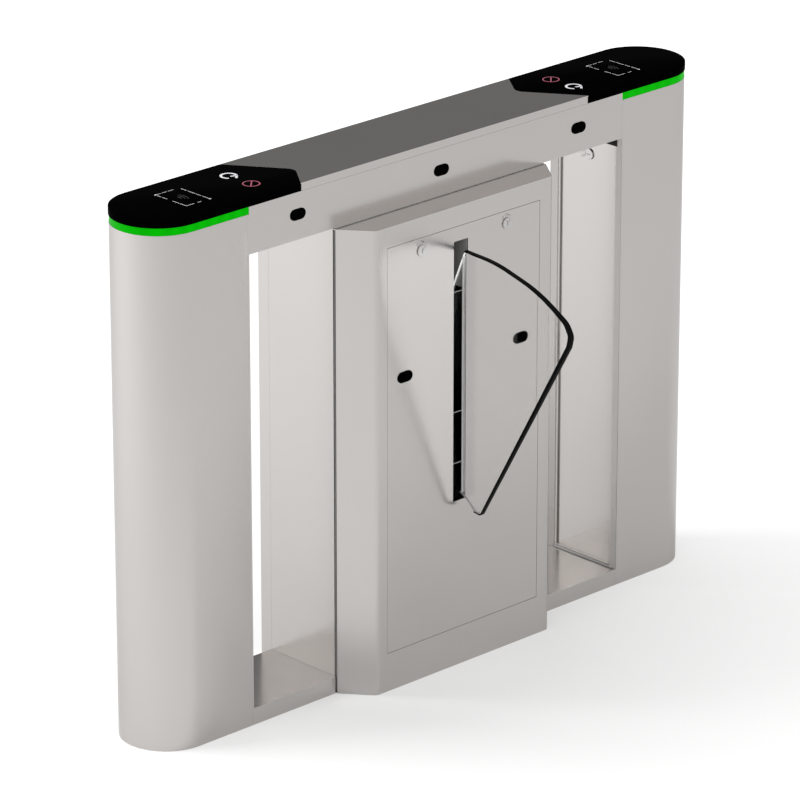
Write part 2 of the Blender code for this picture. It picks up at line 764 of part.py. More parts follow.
def make_lid():
    hinge = rest_empty("lid_hinge", (0.0, LID_HINGE_Y, LID_HINGE_Z))
    half = HALF_WIDTH
    near_x, far_x, apex_x = SHORT_CORNER_X - LID_GAP, LONG_CORNER_X - LID_GAP, APEX_X - LID_GAP
    left = chevron(-near_x, -far_x, -apex_x, half)
    outline = left[::-1] + [(-x, -y) for x, y in left[::-1]]
    lid = prism("Z", [outline], OVERALL_HEIGHT - SHEET, OVERALL_HEIGHT)
    run = SHEET * (SHORT_CORNER_X - APEX_X) / (HALF_WIDTH - APEX_Y)
    edges = []
    for sign in (-1, 1):
        ends = sorted((sign * (run - near_x), sign * (far_x - run)))
        sides = sorted((-sign * half, -sign * (half - SHEET)))
        edges.append(box((ends[0], sides[0], BEAM_TOP), (ends[1], sides[1], OVERALL_HEIGHT - SHEET / 2)))
    bevel(join(lid, *edges), CAP_EDGE_ROUND / 2, 1, 60.0)
    finish(lid, "lid", STEEL, hinge.location, hinge)
    return hinge


def make_lid_hinges(hinge):
    """Butt hinges outside the back wall; the beam's leaf holds the pin."""
    centre = (LID_HINGE_Y, LID_HINGE_Z)
    back = HALF_WIDTH + SEAT_GAP
    left = -HINGE_X - HINGE_LENGTH / 2
    right = -HINGE_X + HINGE_LENGTH / 2
    inner_left = left + HINGE_END_KNUCKLE + SEAT_GAP
    inner_right = right - HINGE_END_KNUCKLE - SEAT_GAP
    bore = HINGE_PIN_RADIUS + HINGE_BORE_CLEARANCE
    drop = HINGE_KNUCKLE_RADIUS + SEAT_GAP

    foot = LID_HINGE_Z - HINGE_LEAF_HEIGHT
    fixed = box((left, back, foot), (right, back + HINGE_LEAF, LID_HINGE_Z - drop))
    web = box((inner_left, back, foot), (inner_right, back + HINGE_LEAF, LID_HINGE_Z))
    knuckle = cylinder("X", centre, HINGE_KNUCKLE_RADIUS, inner_left, inner_right, FINE_STEPS)
    guard = box((inner_left - CUT_OVERRUN, HALF_WIDTH - CUT_OVERRUN * 2, LID_HINGE_Z - HINGE_LEAF_HEIGHT),
                (inner_right + CUT_OVERRUN, back, LID_HINGE_Z + HINGE_LEAF_HEIGHT))
    pin = cylinder("X", centre, HINGE_PIN_RADIUS, left, right, FINE_STEPS // 2)
    finish(cut(join(fixed, web, knuckle, pin), guard), "beam_hinge_left", ZINC)
    shifted_copy(fixed, "beam_hinge_right", 2 * HINGE_X)

    leaf = box((left, back, LID_HINGE_Z + drop), (right, back + HINGE_LEAF, LID_HINGE_Z + LID_LEAF_HEIGHT))
    ends = []
    for low, high in ((left, inner_left - SEAT_GAP), (inner_right + SEAT_GAP, right)):
        ends.append(box((low, back, LID_HINGE_Z), (high, back + HINGE_LEAF, LID_HINGE_Z + LID_LEAF_HEIGHT)))
        ends.append(cylinder("X", centre, HINGE_KNUCKLE_RADIUS, low, high, FINE_STEPS))
    guard = box((left - CUT_OVERRUN, HALF_WIDTH - CUT_OVERRUN * 2, LID_HINGE_Z - HINGE_LEAF_HEIGHT),
                (right + CUT_OVERRUN, back, LID_HINGE_Z + HINGE_LEAF_HEIGHT))
    hole = cylinder("X", centre, bore, left - CUT_OVERRUN, right + CUT_OVERRUN, FINE_STEPS)
    finish(cut(join(leaf, *ends), guard, hole), "lid_hinge_leaf_left", ZINC, hinge.location, hinge)
    shifted_copy(leaf, "lid_hinge_leaf_right", 2 * HINGE_X, hinge)


def make_caps():
    cap = prism("Z", [cap_outline(0.0)], BEAM_TOP, OVERALL_HEIGHT)
    bevel(cap, CAP_EDGE_ROUND, 2, 60.0)
    hollow = prism("Z", [cap_outline(CAP_WALL)], BEAM_TOP - CUT_OVERRUN, OVERALL_HEIGHT - CAP_TOP)
    finish(cut(cap, hollow), "cap_near", BLACK_GLOSS)
    turned_copy(cap, "cap_far")


def make_light_strips():
    half = HALF_WIDTH - STRIP_INSET
    end = -TOWER_X
    path = [(end, half)] + arc((-ROUND_X, 0.0), half, 90.0, 270.0, FINE_STEPS) + [(end, -half)]
    band = prism("Z", [strip(path, STRIP_DEPTH)], TOWER_TOP, BEAM_TOP - SEAT_GAP)
    finish(band, "light_strip_near", GREEN_LIGHT)
    turned_copy(band, "light_strip_far")


def make_readers():
    roof = OVERALL_HEIGHT - CAP_TOP - SEAT_GAP
    half = READER_WIDTH / 2
    middle = READER_FROM_END - OVERALL_LENGTH / 2
    reader = box(
        (middle - READER_LENGTH / 2, -half, roof - READER_HEIGHT),
        (middle + READER_LENGTH / 2, half, roof),
    )
    bevel(reader, BEND_RADIUS / 2, 2)
    finish(reader, "card_reader_near", DARK_PLASTIC)
    turned_copy(reader, "card_reader_far")
    half = INDICATOR_WIDTH / 2
    middle = INDICATOR_FROM_END - OVERALL_LENGTH / 2
    indicator = box(
        (middle - INDICATOR_LENGTH / 2, -half, roof - INDICATOR_HEIGHT),
        (middle + INDICATOR_LENGTH / 2, half, roof),
    )
    bevel(indicator, BEND_RADIUS / 2, 2)
    finish(indicator, "indicator_near", DARK_PLASTIC)
    turned_copy(indicator, "indicator_far")


# Housing

def make_sides():
    path = [
        (-HALF_HOUSING + SIDE_FLANGE, SIDE_REAR_Y),
        (-HALF_HOUSING, SIDE_REAR_Y),
        (-HALF_HOUSING, -SIDE_FRONT_Y),
        (-HALF_HOUSING + SIDE_FLANGE, -SIDE_FRONT_Y),
    ]
    wall = strip(path, SHEET)
    low = PLATE + SEAT_GAP
    high = BEAM_UNDERSIDE - SEAT_GAP
    finish(prism("Z", [wall], low, high), "housing_side_left", STEEL)
    mirrored = [(-x, y) for x, y in wall[::-1]]
    finish(prism("Z", [mirrored], low, high), "housing_side_right", STEEL)


def cover_solid(sign):
    path = cover_path(sign)
    wall = prism("Z", [strip(path, SHEET)], 0.0, SHELF_TOP)
    outline = offset(path, SHEET / 2, closed=False)
    if sign > 0:
        reach = -(SIDE_FRONT_Y + SEAT_GAP)
        outline += [(outline[-1][0], reach), (outline[0][0], reach)]
    shelf = prism("Z", [outline], SHELF_TOP - SHEET, SHELF_TOP)
    return join(wall, shelf)


def make_covers():
    front = cover_solid(1.0)
    half = DOOR_WIDTH / 2 + DOOR_GAP
    low = DOOR_BOTTOM - DOOR_GAP
    high = DOOR_TOP + DOOR_GAP
    fold = box(
        (-half - SHEET, -HALF_DEPTH + SHEET / 2, low - SHEET),
        (half + SHEET, DOOR_RETURN_Y, high + SHEET),
    )
    opening = box((-half, -HALF_DEPTH - CUT_OVERRUN, low), (half, DOOR_RETURN_Y + CUT_OVERRUN, high))
    finish(cut(join(front, fold), opening), "front_cover", STEEL)
    finish(cover_solid(-1.0), "rear_cover", STEEL)


def make_door():
    half = DOOR_WIDTH / 2
    front = -HALF_DEPTH
    door = box((-half, front, DOOR_BOTTOM), (half, front + DOOR_FLANGE, DOOR_TOP))
    hollow = box(
        (-half + SHEET, front + SHEET, DOOR_BOTTOM + SHEET),
        (half - SHEET, front + DOOR_FLANGE + CUT_OVERRUN, DOOR_TOP - SHEET),
    )
    slot_outline = rounded(
        rectangle((WING_X - SLOT_LEFT, SLOT_BOTTOM), (WING_X + SLOT_RIGHT, SLOT_TOP)),
        (BEND_RADIUS / 2,) * 4, BEND_STEPS,
    )
    behind = front + SHEET + CUT_OVERRUN
    tools = [hollow, prism("Y", [slot_outline], front - CUT_OVERRUN, behind)]
    for x in (-DOOR_SENSOR_X, DOOR_SENSOR_X):
        hole = sensor_outline(x, DOOR_SENSOR_Z, SENSOR_STEP - SEAT_GAP)
        tools.append(prism("Y", [hole], front - CUT_OVERRUN, behind))
    lock_z = DOOR_TOP - DOOR_LOCK_DROP
    for x in (-DOOR_LOCK_X, DOOR_LOCK_X):
        hole_radius = LOCK_BARREL_RADIUS + LOCK_CLEARANCE
        tools.append(cylinder("Y", (x, lock_z), hole_radius, front - CUT_OVERRUN, behind))
    hooks = []
    back = DOOR_RETURN_Y + SEAT_GAP
    seat = DOOR_BOTTOM - DOOR_GAP + SEAT_GAP
    for x in (-DOOR_HOOK_X, DOOR_HOOK_X):
        low, high = x - HOOK_WIDTH / 2, x + HOOK_WIDTH / 2
        top = DOOR_BOTTOM + SHEET
        hooks.append(box((low, front + DOOR_FLANGE - SHEET, seat), (high, back + SHEET, top)))
        hooks.append(box((low, back, seat - HOOK_DROP), (high, back + SHEET, top)))
    finish(join(cut(door, *tools), *hooks), "front_door", STEEL)
    reach = DOOR_LOCK_DROP + DOOR_GAP + SHEET + CAM_HOLD
    for x, name in ((-DOOR_LOCK_X, "door_lock_left"), (DOOR_LOCK_X, "door_lock_right")):
        axis_empty = rest_empty(name + "_axis", (x, front, lock_z))
        place_lock(make_lock(reach, DOOR_RETURN), name, axis_empty)


def make_sensor(name, x, front, z):
    """A dark window with a body that fits through its hole."""
    window = prism("Y", [sensor_outline(x, z, 0.0)], front - SENSOR_FACE - SEAT_GAP, front - SEAT_GAP)
    bevel(window, SENSOR_FACE / 3, 1)
    body = prism("Y", [sensor_outline(x, z, SENSOR_STEP)], front - SENSOR_FACE / 2, front + SENSOR_DEPTH)
    finish(join(window, body), name, BLACK_GLOSS)


def make_sensors():
    for x, name in ((-BEAM_SENSOR_X, "left"), (0.0, "middle"), (BEAM_SENSOR_X, "right")):
        make_sensor("beam_sensor_" + name, x, -HALF_WIDTH, BEAM_SENSOR_Z)
    for x, name in ((-DOOR_SENSOR_X, "left"), (DOOR_SENSOR_X, "right")):
        make_sensor("door_sensor_" + name, x, -HALF_DEPTH, DOOR_SENSOR_Z)


# Wing

def out(distance, height):
    """A point of the wing's plane as Y and Z, from its distance out of the door."""
    return (-HALF_DEPTH - distance, height)


def wing_edge(inset, blunting=0.0):
    """The wing's edge from its inner top corner, over the nose and down to its heel."""
    reach = WING_REACH - blunting
    nose_reach = reach - WING_NOSE_SETBACK
    corners = [
        (RUBBER_END, WING_TOP),
        (WING_REACH - WING_CROWN_SETBACK, WING_TOP - WING_CROWN_DROP),
        (WING_REACH - WING_SHOULDER_SETBACK, WING_TOP - WING_SHOULDER_DROP),
        (nose_reach, WING_TOP - WING_NOSE_DROP),
        (reach, WING_TOP - (WING_NOSE_DROP + WING_CHIN_DROP) / 2),
        (nose_reach + WING_TIP_ROUND, WING_TOP - WING_CHIN_DROP),
        (WING_TIP_REACH, PIVOT_HEIGHT + WING_TIP_RISE),
        (WING_HEEL_REACH, PIVOT_HEIGHT + WING_HEEL_RISE),
    ]
    radii = (0, WING_CROWN_ROUND, WING_CROWN_ROUND, WING_NOSE_ROUND * 2, WING_NOSE_ROUND, WING_NOSE_ROUND,
             WING_TIP_ROUND, 0)
    least = WING_TIP_ROUND / 4
    reduced = [max(radius - inset, least) if radius else 0 for radius in radii]
    return rounded(offset(corners, -inset, closed=False), reduced, BEND_STEPS * 2, closed=False)


def root_arc(heel):
    """The hollow of the wing round its pivot, from a heel point to the back."""
    across = heel[0] + PIVOT_DEPTH
    rise = heel[1] - PIVOT_HEIGHT
    first = math.degrees(math.atan2(rise, across))
    return arc((-PIVOT_DEPTH, PIVOT_HEIGHT), math.hypot(across, rise), first, 100.0, BEND_STEPS * 3)[1:]


def make_wing(hinge):
    """A clear pane whose edge carries a rubber band, thicker at the nose."""
    low = WING_X - WING_THICKNESS / 2
    high = WING_X + WING_THICKNESS / 2
    foot = PIVOT_HEIGHT + WING_FOOT_RISE
    back = [(-WING_BACK_DEPTH, foot), (-WING_BACK_DEPTH, WING_TOP - WING_BACK_DROP)]
    edge = wing_edge(RUBBER_WIDTH + SEAT_GAP, RUBBER_NOSE)
    pane = prism("X", [[out(*point) for point in edge + root_arc(edge[-1]) + back]], low, high)
    finish(pane, "wing_panel", CLEAR, hinge.location, hinge)
    band = wing_edge(0.0) + wing_edge(RUBBER_WIDTH, RUBBER_NOSE)[::-1]
    rubber = prism("X", [[out(*point) for point in band]], low, high)
    finish(rubber, "wing_rubber", RUBBER, hinge.location, hinge)


def arm_outline():
    foot = PIVOT_DEPTH
    corners = [
        (-foot - ARM_FOOT_HALF_WIDTH, PIVOT_HEIGHT),
        (-foot + ARM_FOOT_HALF_WIDTH, PIVOT_HEIGHT),
        (-ARM_ELBOW_OUTER, WING_TOP - ARM_ELBOW_DROP),
        (-ARM_HEAD_OUTER, WING_TOP - ARM_HEAD_DROP),
        (-ARM_HEAD_INNER, WING_TOP - ARM_HEAD_DROP),
        (-ARM_ELBOW_INNER, WING_TOP - ARM_ELBOW_DROP),
    ]
    radius = ARM_CORNER_ROUND
    return rounded(corners, (0, 0, radius * 4, radius, radius, radius * 4), BEND_STEPS)


def make_arms(hinge):
    centre = out(-PIVOT_DEPTH, PIVOT_HEIGHT)
    outline = [out(*point) for point in arm_outline()]
    bore_radius = SHAFT_RADIUS + SHAFT_CLEARANCE
    pane_low = WING_X - WING_THICKNESS / 2 - SEAT_GAP
    pane_high = WING_X + WING_THICKNESS / 2 + SEAT_GAP
    deep = ARM_THICKNESS + HUB_LENGTH
    sides = (
        ("wing_arm_left", pane_low - ARM_THICKNESS, pane_low, pane_low - deep, pane_low),
        ("wing_arm_right", pane_high, pane_high + ARM_THICKNESS, pane_high, pane_high + deep),
    )
    for name, low, high, hub_low, hub_high in sides:
        arm = prism("X", [outline], low, high)
        hub = cylinder("X", centre, HUB_RADIUS, hub_low, hub_high)
        tools = [hub]
        if name.endswith("left"):
            half = STOP_LUG_HALF_HEIGHT
            lug_low = (hub_low, centre[0], PIVOT_HEIGHT - half)
            lug_high = (high - ARM_THICKNESS / 2, centre[0] + STOP_LUG_REACH, PIVOT_HEIGHT + half)
            tools.append(box(lug_low, lug_high))
        bore = cylinder("X", centre, bore_radius, hub_low - CUT_OVERRUN, hub_high + CUT_OVERRUN)
        finish(cut(join(arm, *tools), bore), name, BLACK_PAINT, hinge.location, hinge)


def involute_half_angle(radius, teeth):
    """Half the angle that a tooth takes at a radius, in radians."""
    pitch = MODULE * teeth / 2
    pressure = math.radians(PRESSURE_ANGLE)
    base = pitch * math.cos(pressure)
    here = math.acos(min(1.0, base / max(radius, base)))
    spread = math.tan(pressure) - pressure - (math.tan(here) - here)
    return math.pi / (2 * teeth) + spread - BACKLASH / (2 * pitch)


def tooth(centre, teeth, angle):
    """One tooth's points, from root to root, about its own angle in degrees."""
    pitch = MODULE * teeth / 2
    root = pitch - MODULE * ROOT_DEPTH_SHARE
    tip = pitch + MODULE
    base = max(pitch * math.cos(math.radians(PRESSURE_ANGLE)), root)
    radii = [root] + [base + (tip - base) * step / BEND_STEPS for step in range(BEND_STEPS + 1)]
    flank = [(radius, involute_half_angle(radius, teeth)) for radius in radii]
    profile = [(radius, -half) for radius, half in flank] + [(radius, half) for radius, half in flank[::-1]]
    middle = math.radians(angle)
    return [(centre[0] + r * math.cos(middle + a), centre[1] + r * math.sin(middle + a)) for r, a in profile]


def make_gears(hinge):
    centre = out(-PIVOT_DEPTH, PIVOT_HEIGHT)
    pitch_angle = 360.0 / SECTOR_TEETH
    first = math.floor(SECTOR_FROM / pitch_angle)
    last = math.ceil(SECTOR_TO / pitch_angle)
    rim = []
    for index in range(first, last):
        rim += tooth(centre, SECTOR_TEETH, (index + 0.5) * pitch_angle)
    start = first * pitch_angle
    end = last * pitch_angle
    rim += arc(centre, GEAR_HUB_RADIUS, end + 45.0, start + 315.0, FINE_STEPS // 2)
    root = SECTOR_PITCH - MODULE * ROOT_DEPTH_SHARE
    low, high = start + SECTOR_WINDOW_MARGIN, end - SECTOR_WINDOW_MARGIN
    window = arc(centre, root - SECTOR_RIM, low, high, BEND_STEPS * 3)
    window += arc(centre, SECTOR_WINDOW_INNER, high, low, BEND_STEPS * 2)
    bore = circle(centre, SHAFT_RADIUS + SHAFT_CLEARANCE, FINE_STEPS)
    sector = prism("X", [rim, window, bore], GEAR_X, GEAR_X + GEAR_WIDTH)
    finish(sector, "sector_gear", GEAR_STEEL, hinge.location, hinge)

    spin = rest_empty("pinion_axis", (GEAR_X, PINION_Y, PIVOT_HEIGHT))
    outline = []
    for index in range(PINION_TEETH):
        outline += tooth((PINION_Y, PIVOT_HEIGHT), PINION_TEETH, index * 360.0 / PINION_TEETH)
    pinion = prism("X", [outline], GEAR_X, GEAR_X + GEAR_WIDTH)
    stub_end = GEAR_X + GEAR_WIDTH + SHEET
    stub = cylinder("X", (PINION_Y, PIVOT_HEIGHT), PINION_SHAFT_RADIUS, CHEEK_RIGHT_X, stub_end)
    finish(join(pinion, stub), "pinion", GEAR_STEEL, spin.location, spin)


def make_shaft(hinge):
    centre = out(-PIVOT_DEPTH, PIVOT_HEIGHT)
    ends = (CHEEK_LEFT_X - SHAFT_OVERHANG, GEAR_X + GEAR_WIDTH + SHAFT_OVERHANG)
    shaft = cylinder("X", centre, SHAFT_RADIUS, *ends)
    bevel(shaft, SHEET / 2, 1)
    finish(shaft, "wing_shaft", GEAR_STEEL, hinge.location, hinge)


# Drive frame

def cheek_outline():
    low = PLATE + SEAT_GAP
    radius = CHEEK_ROUND
    corners = rectangle((CHEEK_FRONT_Y, low), (CHEEK_BACK_Y, PIVOT_HEIGHT + CHEEK_RISE))
    return rounded(corners, (0, 0, radius, radius), BEND_STEPS * 2)


def make_drive_frame():
    low = PLATE + SEAT_GAP
    centre = out(-PIVOT_DEPTH, PIVOT_HEIGHT)
    front = CHEEK_FRONT_Y + CHEEK_WINDOW_MARGIN
    rear = CHEEK_BACK_Y - CHEEK_WINDOW_MARGIN
    corners = rectangle((front, CHEEK_WINDOW_LOW), (rear, PIVOT_HEIGHT - CHEEK_WINDOW_DROP))
    window = rounded(corners, (CHEEK_ROUND / 2,) * 4, BEND_STEPS)
    bore = circle(centre, SHAFT_RADIUS + SHEET, FINE_STEPS)
    drive_hole = circle((PINION_Y, PIVOT_HEIGHT), PINION_SHAFT_RADIUS * 2, FINE_STEPS)
    plates = (
        ("cheek_left", CHEEK_LEFT_X, -1, [cheek_outline(), window, bore]),
        ("cheek_right", CHEEK_RIGHT_X, 1, [cheek_outline(), window, bore, drive_hole]),
    )
    for name, x, sign, outlines in plates:
        cheek = prism("X", outlines, x, x + CHEEK)
        ends = sorted((x + CHEEK / 2, x + CHEEK / 2 + sign * CHEEK_FOOT))
        foot = box((ends[0], CHEEK_FRONT_Y, low), (ends[1], CHEEK_BACK_Y, low + CHEEK))
        finish(join(cheek, foot), name, ZINC)
    sides = (
        ("bearing_left", CHEEK_LEFT_X + CHEEK + SEAT_GAP, 1),
        ("bearing_right", CHEEK_RIGHT_X - SEAT_GAP, -1),
    )
    for name, x, sign in sides:
        flange_ends = sorted((x, x + sign * BEARING_FLANGE))
        hub_ends = sorted((x, x + sign * BEARING_LENGTH))
        half = BEARING_FLANGE_SIZE / 2
        square = rectangle((centre[0] - half, centre[1] - half), (centre[0] + half, centre[1] + half))
        flange = prism("X", [rounded(square, (BEARING_FLANGE_SIZE / 4,) * 4, BEND_STEPS)], *flange_ends)
        hub = cylinder("X", centre, BEARING_RADIUS, *hub_ends)
        bore_ends = (hub_ends[0] - CUT_OVERRUN, hub_ends[1] + CUT_OVERRUN)
        hole = cylinder("X", centre, SHAFT_RADIUS + SHAFT_CLEARANCE, *bore_ends)
        finish(cut(join(flange, hub), hole), name, CAST)


def make_motor():
    right = CHEEK_RIGHT_X - SEAT_GAP
    half = GEARBOX_SIZE / 2
    square = rectangle((PINION_Y - half, PIVOT_HEIGHT - half), (PINION_Y + half, PIVOT_HEIGHT + half))
    left = right - GEARBOX_LENGTH
    gearbox = prism("X", [rounded(square, (BEND_RADIUS * 2,) * 4, BEND_STEPS)], left, right)
    end = left - MOTOR_LENGTH
    barrel = cylinder("X", (PINION_Y, PIVOT_HEIGHT), MOTOR_RADIUS, end, left + SHEET)
    tail = cylinder("X", (PINION_Y, PIVOT_HEIGHT), MOTOR_RADIUS + MOTOR_RING, end, end + MOTOR_RING_LENGTH)
    finish(join(gearbox, barrel, tail), "gearmotor", CAST)


def make_stops():
    """Round rubber stops on the left cheek, one for each end of the wing's swing."""
    left = CHEEK_LEFT_X + CHEEK + SEAT_GAP
    pane_low = WING_X - WING_THICKNESS / 2 - SEAT_GAP
    right = pane_low - ARM_THICKNESS - STOP_END_GAP
    rest_z = PIVOT_HEIGHT + STOP_LUG_HALF_HEIGHT + SEAT_GAP + STOP_RADIUS
    rest = cylinder("X", (PIVOT_Y + STOP_DISTANCE, rest_z), STOP_RADIUS, left, right, FINE_STEPS)
    finish(rest, "stop_rest", RUBBER)
    angle = math.radians(WING_SWING)
    side = STOP_LUG_HALF_HEIGHT + SEAT_GAP + STOP_RADIUS
    place = (
        PIVOT_Y + STOP_DISTANCE * math.cos(angle) - side * math.sin(angle),
        PIVOT_HEIGHT - STOP_DISTANCE * math.sin(angle) - side * math.cos(angle),
    )
    finish(cylinder("X", place, STOP_RADIUS, left, right, FINE_STEPS), "stop_retract", RUBBER)


# Electronics

def make_electronics():
    wall = HALF_HOUSING - SHEET - SEAT_GAP
    half = BOARD_LENGTH / 2
    high = BOARD_Z + BOARD_HEIGHT
    board_low = wall - BOARD_POST_LENGTH - BOARD
    board = box((board_low, -half, BOARD_Z), (board_low + BOARD, half, high))
    posts = []
    post_low = board_low + BOARD / 2
    for sy in (-1, 1):
        for z in (BOARD_Z + BOARD_POST_INSET, high - BOARD_POST_INSET):
            place = (sy * (half - BOARD_POST_INSET), z)
            posts.append(cylinder("X", place, BOARD_POST_RADIUS, post_low, wall - SEAT_GAP, FINE_STEPS // 2))
    chip_rows = 3
    step = BOARD_HEIGHT / (chip_rows + 1)
    for row in range(chip_rows):
        middle = BOARD_Z + step * (row + 1)
        low = (board_low - BOARD_CHIP, -half / 2, middle - step / 4)
        posts.append(box(low, (board_low + BOARD / 2, half / 3, middle + step / 4)))
    finish(join(board, *posts), "control_board", BOARD_GREEN)
    low = PLATE + SEAT_GAP
    supply = box(
        (SUPPLY_X - SUPPLY_LENGTH / 2, -SUPPLY_WIDTH / 2, low),
        (SUPPLY_X + SUPPLY_LENGTH / 2, SUPPLY_WIDTH / 2, low + SUPPLY_HEIGHT),
    )
    grooves = []
    pitch = SUPPLY_WIDTH / (SUPPLY_FINS + 1)
    side = SUPPLY_X + SUPPLY_LENGTH / 2
    for fin in range(SUPPLY_FINS):
        y = -SUPPLY_WIDTH / 2 + pitch * (fin + 1)
        grooves.append(box(
            (side - SUPPLY_FIN_DEPTH, y - SUPPLY_FIN, low + SUPPLY_HEIGHT / 8),
            (side + CUT_OVERRUN, y + SUPPLY_FIN, low + SUPPLY_HEIGHT + CUT_OVERRUN),
        ))
    finish(cut(supply, *grooves), "power_supply", ZINC)


def main():
    clear_scene()
    make_base()
    make_sills()
    make_towers()
    make_tower_panels()
    make_beam()
    lid_hinge = make_lid()
    make_lid_hinges(lid_hinge)
    make_caps()
    make_light_strips()
    make_readers()
    make_sides()
    make_covers()
    make_door()
    make_sensors()
    wing_hinge = rest_empty("wing_pivot", (WING_X, PIVOT_Y, PIVOT_HEIGHT))
    make_wing(wing_hinge)
    make_arms(wing_hinge)
    make_shaft(wing_hinge)
    make_gears(wing_hinge)
    make_drive_frame()
    make_motor()
    make_stops()
    make_electronics()


main()
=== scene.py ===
"""Looks for a flap barrier pedestal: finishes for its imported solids, small parts, and a plain studio."""

import json
import math

import bmesh
import bpy
from bpy.props import FloatProperty, FloatVectorProperty, PointerProperty
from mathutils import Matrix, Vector

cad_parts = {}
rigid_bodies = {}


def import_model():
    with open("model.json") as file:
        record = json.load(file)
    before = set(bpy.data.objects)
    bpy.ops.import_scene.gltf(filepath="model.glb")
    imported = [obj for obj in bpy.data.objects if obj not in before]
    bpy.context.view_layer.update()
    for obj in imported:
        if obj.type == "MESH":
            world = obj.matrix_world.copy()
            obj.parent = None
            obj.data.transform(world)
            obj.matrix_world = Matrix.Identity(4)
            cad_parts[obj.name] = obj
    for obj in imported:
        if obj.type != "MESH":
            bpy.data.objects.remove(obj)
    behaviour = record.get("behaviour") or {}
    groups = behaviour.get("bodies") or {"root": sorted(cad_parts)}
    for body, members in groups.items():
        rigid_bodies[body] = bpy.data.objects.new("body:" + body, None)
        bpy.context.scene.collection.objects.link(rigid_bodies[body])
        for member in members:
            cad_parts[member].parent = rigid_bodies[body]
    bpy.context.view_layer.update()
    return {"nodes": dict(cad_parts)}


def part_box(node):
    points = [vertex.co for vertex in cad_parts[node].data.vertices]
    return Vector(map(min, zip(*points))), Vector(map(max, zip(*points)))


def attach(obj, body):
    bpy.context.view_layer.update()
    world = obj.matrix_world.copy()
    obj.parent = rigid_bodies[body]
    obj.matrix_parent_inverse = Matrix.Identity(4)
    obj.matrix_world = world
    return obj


bl_info = {
    "name": "Flap Barrier Pedestal",
    "version": (1, 0, 0),
    "blender": (4, 5, 0),
    "location": "3D View > Sidebar > Pedestal",
    "description": "Finishes, small parts and a studio for a flap barrier pedestal",
    "category": "Object",
}

for startup_object in list(bpy.data.objects):
    bpy.data.objects.remove(startup_object)
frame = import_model()
NODES = frame["nodes"]

UPRIGHT_STEEL = (
    "tower_near_shell", "tower_far_shell", "tower_near_panel", "tower_far_panel",
    "front_cover", "rear_cover", "front_door", "housing_side_left", "housing_side_right",
)
LENGTHWAYS_STEEL = (
    "beam_channel", "lid", "sill_left_front", "sill_left_rear", "sill_right_front", "sill_right_rear",
)
CAPS = ("cap_near", "cap_far")
STRIPS = ("light_strip_near", "light_strip_far")
SENSORS = (
    "beam_sensor_left", "beam_sensor_middle", "beam_sensor_right", "door_sensor_left", "door_sensor_right",
)
LOCK_BODIES = {
    "door_lock_left": "left_door_lock", "door_lock_right": "right_door_lock",
    "tower_near_lock": "near_panel_lock", "tower_far_lock": "far_panel_lock",
}
LOCK_MARK_HEIGHT = 0.00012
LOCK_RING = (0.0068, 0.0078)
LOCK_PIN_CIRCLE = 0.0052
LOCK_PIN_RADIUS = 0.0009
HINGES = ("beam_hinge_left", "beam_hinge_right", "lid_hinge_leaf_left", "lid_hinge_leaf_right")
CHEEKS = ("cheek_left", "cheek_right")
BEARINGS = ("bearing_left", "bearing_right")
ARMS = ("wing_arm_left", "wing_arm_right")
GEARS = ("sector_gear", "pinion", "wing_shaft")
STOPS = ("stop_rest", "stop_retract")
INSIDE_PLASTIC = ("card_reader_near", "card_reader_far", "indicator_near", "indicator_far")

DUST_COLOUR = (0.42, 0.40, 0.37)
DUST_ROUGHNESS = 0.9
METAL = {"Metallic": 1.0}


# Node groups

def group_tree(name, inputs, outputs):
    """An empty shader node group with its sockets; gives the tree and its two end nodes."""
    tree = bpy.data.node_groups.new(name, "ShaderNodeTree")
    for label, kind, value in inputs:
        socket = tree.interface.new_socket(name=label, in_out="INPUT", socket_type=kind)
        socket.default_value = value
    for label, kind in outputs:
        tree.interface.new_socket(name=label, in_out="OUTPUT", socket_type=kind)
    return tree, tree.nodes.new("NodeGroupInput"), tree.nodes.new("NodeGroupOutput")


def feed(tree, socket, value):
    """Links another node's output into a socket, or sets the socket to a plain value."""
    if isinstance(value, bpy.types.NodeSocket):
        tree.links.new(value, socket)
    else:
        socket.default_value = value


def math_node(tree, operation, first, second, clamp=False):
    """A math node fed by sockets or numbers; gives its result socket."""
    node = tree.nodes.new("ShaderNodeMath")
    node.operation = operation
    node.use_clamp = clamp
    feed(tree, node.inputs[0], first)
    feed(tree, node.inputs[1], second)
    return node.outputs["Value"]


def vector_node(tree, operation, first, second=None, result="Vector"):
    """A vector math node fed by sockets, vectors or a scale; gives one of its result sockets."""
    node = tree.nodes.new("ShaderNodeVectorMath")
    node.operation = operation
    feed(tree, node.inputs[0], first)
    if second is not None:
        feed(tree, node.inputs["Scale"] if operation == "SCALE" else node.inputs[1], second)
    return node.outputs[result]


def spread_node(tree, value, low, high, new_low, new_high):
    """A map range node; gives its result socket."""
    node = tree.nodes.new("ShaderNodeMapRange")
    tree.links.new(value, node.inputs["Value"])
    limits = (("From Min", low), ("From Max", high), ("To Min", new_low), ("To Max", new_high))
    for label, number in limits:
        node.inputs[label].default_value = number
    return node.outputs["Result"]


def noise_node(tree, place, scale, detail, roughness):
    """A noise texture; gives its result socket."""
    node = tree.nodes.new("ShaderNodeTexNoise")
    for label, value in (("Vector", place), ("Scale", scale), ("Detail", detail), ("Roughness", roughness)):
        feed(tree, node.inputs[label], value)
    return node.outputs["Fac"]


def object_place(tree):
    """The socket that gives each point's place on its own piece."""
    return tree.nodes.new("ShaderNodeTexCoord").outputs["Object"]


